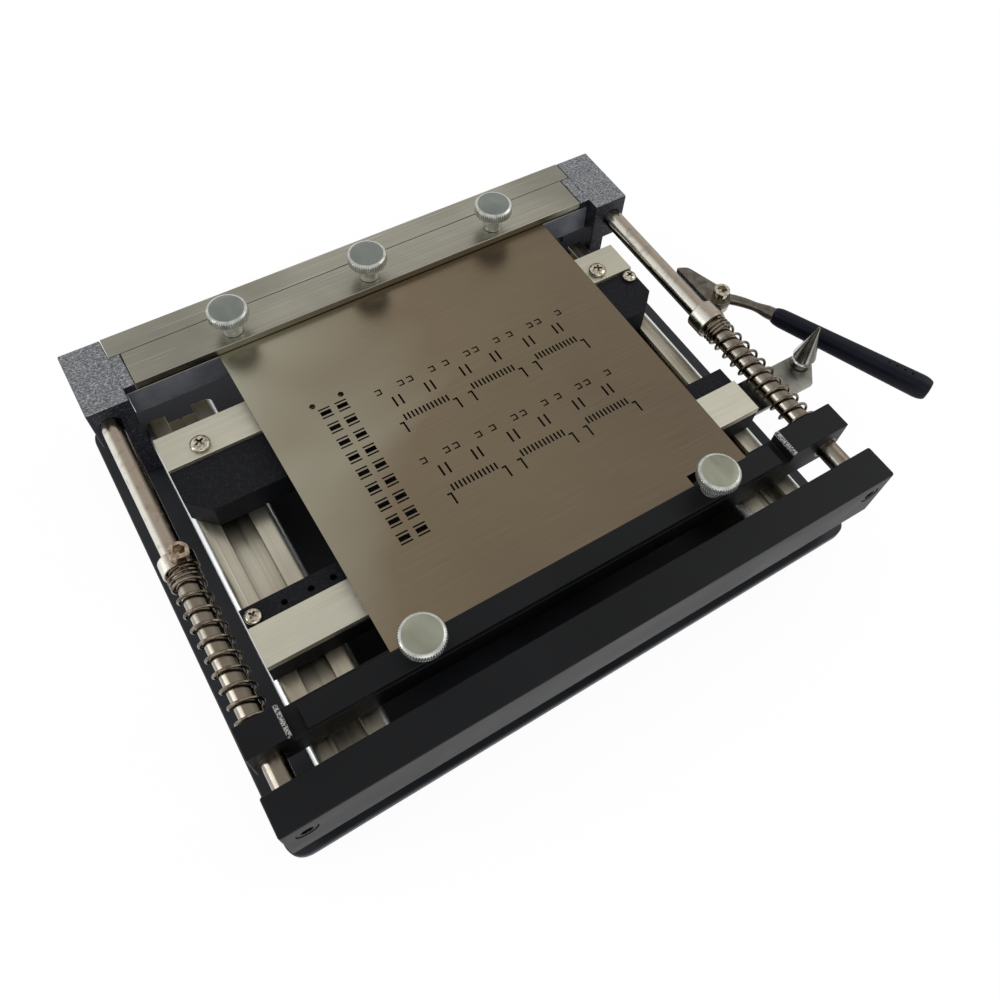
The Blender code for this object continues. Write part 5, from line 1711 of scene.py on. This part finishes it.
@dataclass
class SideLever:
    """The side lever: a flat leaf and eye, a round arm that swells into a ferrule, and a soft grip."""

    leaf_edge: float = 0.0006
    leaf_thick: float = 0.0030
    leaf_corner: float = 0.0022
    leaf_gap: float = 0.0045
    leaf_clear: float = 0.0015
    leaf_back: float = 0.0281
    leaf_tip: float = 0.0061
    eye: float = 0.0070
    eye_share: float = 0.7
    arm_sides: int = 8
    dot_steps: int = 16
    arm_radius: float = 0.0024
    arm_waist: float = 0.0004
    arm_steps: int = 24
    ferrule: float = 0.0070
    ferrule_start: float = 0.45
    ferrule_run: float = 0.40
    tang_back: float = 0.0040
    tang_in: float = 0.0010
    elbow: Point = (0.0105, -0.0085)
    grip_start: Point = (0.0177, -0.0229)
    grip_angle: float = 65.0
    grip_length: float = 0.0863
    grip_nose: float = 0.0060
    grip_flat: float = 0.88
    grip_gap: float = 0.0003
    grip_arm_share: float = 0.78
    grip_end_share: float = 0.66
    grip_power: float = 3.0
    grip_rings: int = 40
    grip_sides: int = 48
    dot: float = 0.0007
    dots: int = 4
    dot_pitch: float = 0.0042
    dot_inset: float = 0.0110
    screw_head: float = 0.00425
    screw_height: float = 0.0050
    screw_shank: float = 0.0024
    screw_length: float = 0.0070
    screw_turn: float = 20.0

    def build(self, screws: ScrewMaker) -> None:
        """Builds and dresses the lever and its pivot screw.

        Args:
            screws: Makes the screw.
        """
        pivot = middle("lever_pivot_screw")
        edge_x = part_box("shaft_right")[1].x + self.leaf_gap
        x, y = pivot.x, pivot.y
        diagonal = self.eye * math.sqrt(0.5)
        outline = [
            (edge_x, y + self.leaf_clear), (edge_x, y + self.leaf_back),
            (edge_x + self.leaf_tip, y + self.leaf_back - self.leaf_tip / 2),
            (x + diagonal, y + diagonal), (x + self.eye, y), (x + diagonal, y - diagonal), (x, y - self.eye),
            (x - diagonal, y - diagonal),
        ]
        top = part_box("lever_pivot_screw")[1].z - self.screw_height
        leaf = drawn([filleted(outline, self.leaf_corner)], top - self.leaf_thick, top, edge=self.leaf_edge)
        axis_z = top - self.leaf_thick / 2
        arm = self.arm_mesh(Vector((x, y, axis_z)))
        show("lever_arm_fine", carved(leaf, [arm], "UNION"), LEVER, "lever", "lever_arm")
        show("lever_grip_fine", self.grip(Vector((x, y, axis_z))), VINYL, "lever", "lever_grip")
        head = screws.socket(Vector((x, y, top)), Vector((0.0, 0.0, 1.0)), self.screw_head, self.screw_height,
                             self.screw_shank, self.screw_length, self.screw_turn)
        show("lever_pivot_screw_fine", head, CHROME, "frame", "lever_pivot_screw")

    def arm_mesh(self, pivot: Vector) -> bpy.types.Mesh:
        """The round arm from the eye to the grip.

        Args:
            pivot: The lever's pivot, at half the leaf's thickness.

        Returns:
            The arm's mesh.
        """
        start = Vector((*self.grip_start, 0.0))
        elbow = Vector((*self.elbow, 0.0))
        turn = math.radians(self.grip_angle)
        along = Vector((math.cos(turn), -math.sin(turn), 0.0))
        corners = [elbow.normalized() * self.eye * self.eye_share, elbow, start - along * self.tang_back,
                   start + along * self.tang_in]
        points, radii = [], []
        for i in range(self.arm_steps + 1):
            s = i / self.arm_steps
            a, b, c, d = (1 - s) ** 3, 3 * s * (1 - s) ** 2, 3 * s * s * (1 - s), s ** 3
            points.append(pivot + corners[0] * a + corners[1] * b + corners[2] * c + corners[3] * d)
            swell = min(max((s - self.ferrule_start) / self.ferrule_run, 0.0), 1.0)
            smooth = swell * swell * (3 - 2 * swell)
            slim = self.arm_radius + self.arm_waist * math.cos(math.pi * s)
            radii.append(slim + (self.ferrule / 2 - slim) * smooth)
        return swept(points, radii, self.arm_sides)

    def grip(self, pivot: Vector) -> bpy.types.Mesh:
        """The soft grip: a square-ish round bar with full rounded ends and a row of small dots.

        Args:
            pivot: The lever's pivot, at half the leaf's thickness.

        Returns:
            The grip's mesh.
        """
        low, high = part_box("lever_grip")
        radius = (high.z - low.z) / 2
        turn = math.radians(self.grip_angle)
        along = Vector((math.cos(turn), -math.sin(turn), 0.0))
        across = Vector((math.sin(turn), math.cos(turn), 0.0))
        start = pivot + Vector((*self.grip_start, 0.0)) + along * self.grip_gap
        start.z = (low.z + high.z) / 2
        bm = bmesh.new()
        rows = []
        for i in range(self.grip_rings + 1):
            s = i / self.grip_rings
            at = self.grip_length * (1 - math.cos(math.pi * s)) / 2
            inside = min(at, self.grip_length - at) / self.grip_nose
            far = 1 - (1 - min(inside, 1.0)) ** 2
            taper = self.grip_arm_share + (1 - self.grip_arm_share) * at / self.grip_length
            size = radius * taper * (self.grip_end_share + (1 - self.grip_end_share) * math.sqrt(far))
            row = []
            for k in range(self.grip_sides):
                angle = 2 * math.pi * k / self.grip_sides
                u, v = math.cos(angle), math.sin(angle)
                stretch = (abs(u) ** self.grip_power + abs(v) ** self.grip_power) ** (-1 / self.grip_power)
                place = start + along * at + across * (u * stretch * size * self.grip_flat)
                place.z += v * stretch * size
                row.append(bm.verts.new(place))
            rows.append(row)
        for below, above in zip(rows, rows[1:]):
            for k in range(self.grip_sides):
                j = (k + 1) % self.grip_sides
                bm.faces.new((below[k], below[j], above[j], above[k]))
        bm.faces.new(rows[0])
        bm.faces.new(rows[-1])
        grip = closed_mesh(bm, "grip")
        pins = []
        for i in range(self.dots):
            at = self.grip_length - self.dot_inset - i * self.dot_pitch
            top = start + along * at
            top.z += radius
            rise = Vector((0.0, 0.0, self.dot))
            pins.append(rod(top - rise, top + rise, self.dot, self.dot_steps))
        return carved(grip, pins)


@dataclass
class Studio:
    """The camera, the lamps, the sky and a white floor that keeps the press's shadow."""

    camera_place: tuple[float, float, float] = (-0.1560441, -0.19814057, 0.39736727)
    camera_turn: tuple[float, float, float] = (29.88544415, -2.79499818, -31.69236784)
    lens: float = 31.4814
    sensor: float = 36.0
    floor_size: float = 6.0
    shadow_share: float = 0.12
    floor_glow: float = 1.06
    sky_strength: float = 0.50
    ceiling_strength: float = 0.80
    ceiling_run: Point = (0.1, 0.9)
    nearest: float = 0.01
    floor_tone: float = 0.92

    def build(self) -> None:
        """Sets up the whole studio."""
        self.camera()
        self.sky()
        self.floor()
        self.lamp("key_lamp", (1.05, -0.15, 0.95), 2.4, (0.7, 0.7), (1.0, 0.99, 0.96))
        self.lamp("side_lamp", (-1.25, 0.35, 0.42), 3.0, (0.35, 1.1), (1.0, 1.0, 1.0))
        self.lamp("front_lamp", (-0.5, -1.2, 0.75), 2.2, (0.8, 0.8), (0.97, 0.98, 1.0))

    def camera(self) -> None:
        """Makes the camera at the photograph's viewing angle."""
        camera = bpy.data.cameras.new("camera")
        camera.lens = self.lens
        camera.sensor_width = self.sensor
        camera.clip_start = self.nearest
        holder = bpy.data.objects.new("camera", camera)
        bpy.context.scene.collection.objects.link(holder)
        holder.location = self.camera_place
        holder.rotation_euler = Euler([math.radians(angle) for angle in self.camera_turn], "XYZ")
        bpy.context.scene.camera = holder

    def lamp(self, name: str, place: Sequence[float], power: float, size: Point, colour: Sequence[float]) -> None:
        """Adds a soft rectangular lamp that points at the press.

        Args:
            name: Its name.
            place: Where it hangs.
            power: Its power in watts.
            size: Its width and height.
            colour: Its colour.
        """
        light = bpy.data.lights.new(name, "AREA")
        light.shape = "RECTANGLE"
        light.size, light.size_y = size
        light.energy = power
        light.color = colour
        holder = bpy.data.objects.new(name, light)
        bpy.context.scene.collection.objects.link(holder)
        holder.location = place
        aim = middle("stencil") - Vector(place)
        holder.rotation_euler = aim.to_track_quat("-Z", "Y").to_euler()

    def seen_directly(self, tree: bpy.types.NodeTree) -> bpy.types.NodeSocket:
        """Adds nodes that are 1 for rays of the camera, of mirrors and of glass.

        Args:
            tree: The tree that gets them.

        Returns:
            Their value's socket.
        """
        path = tree.nodes.new("ShaderNodeLightPath")
        value = path.outputs["Is Camera Ray"]
        for name in ("Is Glossy Ray", "Is Transmission Ray"):
            larger = tree.nodes.new("ShaderNodeMath")
            larger.operation = "MAXIMUM"
            tree.links.new(value, larger.inputs[0])
            tree.links.new(path.outputs[name], larger.inputs[1])
            value = larger.outputs[0]
        return value

    def sky(self) -> None:
        """A white surround, softer for plain light, and a little darker overhead in reflections."""
        world = bpy.data.worlds.new("studio")
        bpy.context.scene.world = world
        world.use_nodes = True
        tree = world.node_tree
        background = tree.nodes["Background"]
        background.inputs["Color"].default_value = (1.0, 1.0, 1.0, 1.0)
        path = tree.nodes.new("ShaderNodeLightPath")
        place = tree.nodes.new("ShaderNodeTexCoord")
        split = tree.nodes.new("ShaderNodeSeparateXYZ")
        tree.links.new(place.outputs["Generated"], split.inputs["Vector"])
        overhead = tree.nodes.new("ShaderNodeMapRange")
        overhead.inputs["From Min"].default_value, overhead.inputs["From Max"].default_value = self.ceiling_run
        overhead.inputs["To Min"].default_value = 1.0
        overhead.inputs["To Max"].default_value = self.ceiling_strength
        tree.links.new(split.outputs["Z"], overhead.inputs["Value"])
        glossy = tree.nodes.new("ShaderNodeMix")
        glossy.inputs[2].default_value = 1.0
        tree.links.new(path.outputs["Is Glossy Ray"], glossy.inputs[0])
        tree.links.new(overhead.outputs["Result"], glossy.inputs[3])
        strength = tree.nodes.new("ShaderNodeMix")
        strength.inputs[2].default_value = self.sky_strength
        tree.links.new(self.seen_directly(tree), strength.inputs[0])
        tree.links.new(glossy.outputs[0], strength.inputs[3])
        tree.links.new(strength.outputs[0], background.inputs["Strength"])

    def floor(self) -> None:
        """A white floor whose glow hides all but part of the press's shadow."""
        bm = bmesh.new()
        half = self.floor_size / 2
        bm.faces.new([bm.verts.new((u, v, 0.0)) for u, v in rectangle(-half, half, -half, half)])
        mesh = bpy.data.meshes.new("floor")
        bm.to_mesh(mesh)
        bm.free()
        material = bpy.data.materials.new("white_floor")
        material.use_nodes = True
        tree = material.node_tree
        shader = tree.nodes["Principled BSDF"]
        shader.inputs["Base Color"].default_value = (*(self.floor_tone,) * 3, 1.0)
        shader.inputs["Roughness"].default_value = 1.0
        shader.inputs["Specular IOR Level"].default_value = 0.0
        glow = tree.nodes.new("ShaderNodeEmission")
        glow.inputs["Strength"].default_value = self.floor_glow
        share = tree.nodes.new("ShaderNodeMath")
        share.operation = "MULTIPLY"
        share.inputs[1].default_value = 1.0 - self.shadow_share
        tree.links.new(self.seen_directly(tree), share.inputs[0])
        mixed = tree.nodes.new("ShaderNodeMixShader")
        tree.links.new(share.outputs[0], mixed.inputs[0])
        tree.links.new(shader.outputs[0], mixed.inputs[1])
        tree.links.new(glow.outputs[0], mixed.inputs[2])
        tree.links.new(mixed.outputs[0], tree.nodes["Material Output"].inputs["Surface"])
        mesh.materials.append(material)
        floor = bpy.data.objects.new("floor", mesh)
        bpy.context.scene.collection.objects.link(floor)


def main() -> None:
    """Builds the studio and every sub-assembly, in order."""
    logging.basicConfig(level=logging.INFO, format="%(message)s")
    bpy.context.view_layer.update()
    bpy.context.scene.view_settings.view_transform = "Standard"
    Studio().build()
    screws = ScrewMaker()
    Base().build()
    Rails().build()
    BoardStops().build(screws)
    HingeEnds().build()
    RearClamp().build()
    Thumbscrews().build()
    Stencil().build()
    Shafts().build(screws)
    Springs().build()
    Slider().build()
    FrontBeam().build()
    SideLever().build(screws)


if __name__ == "__main__":
    main()
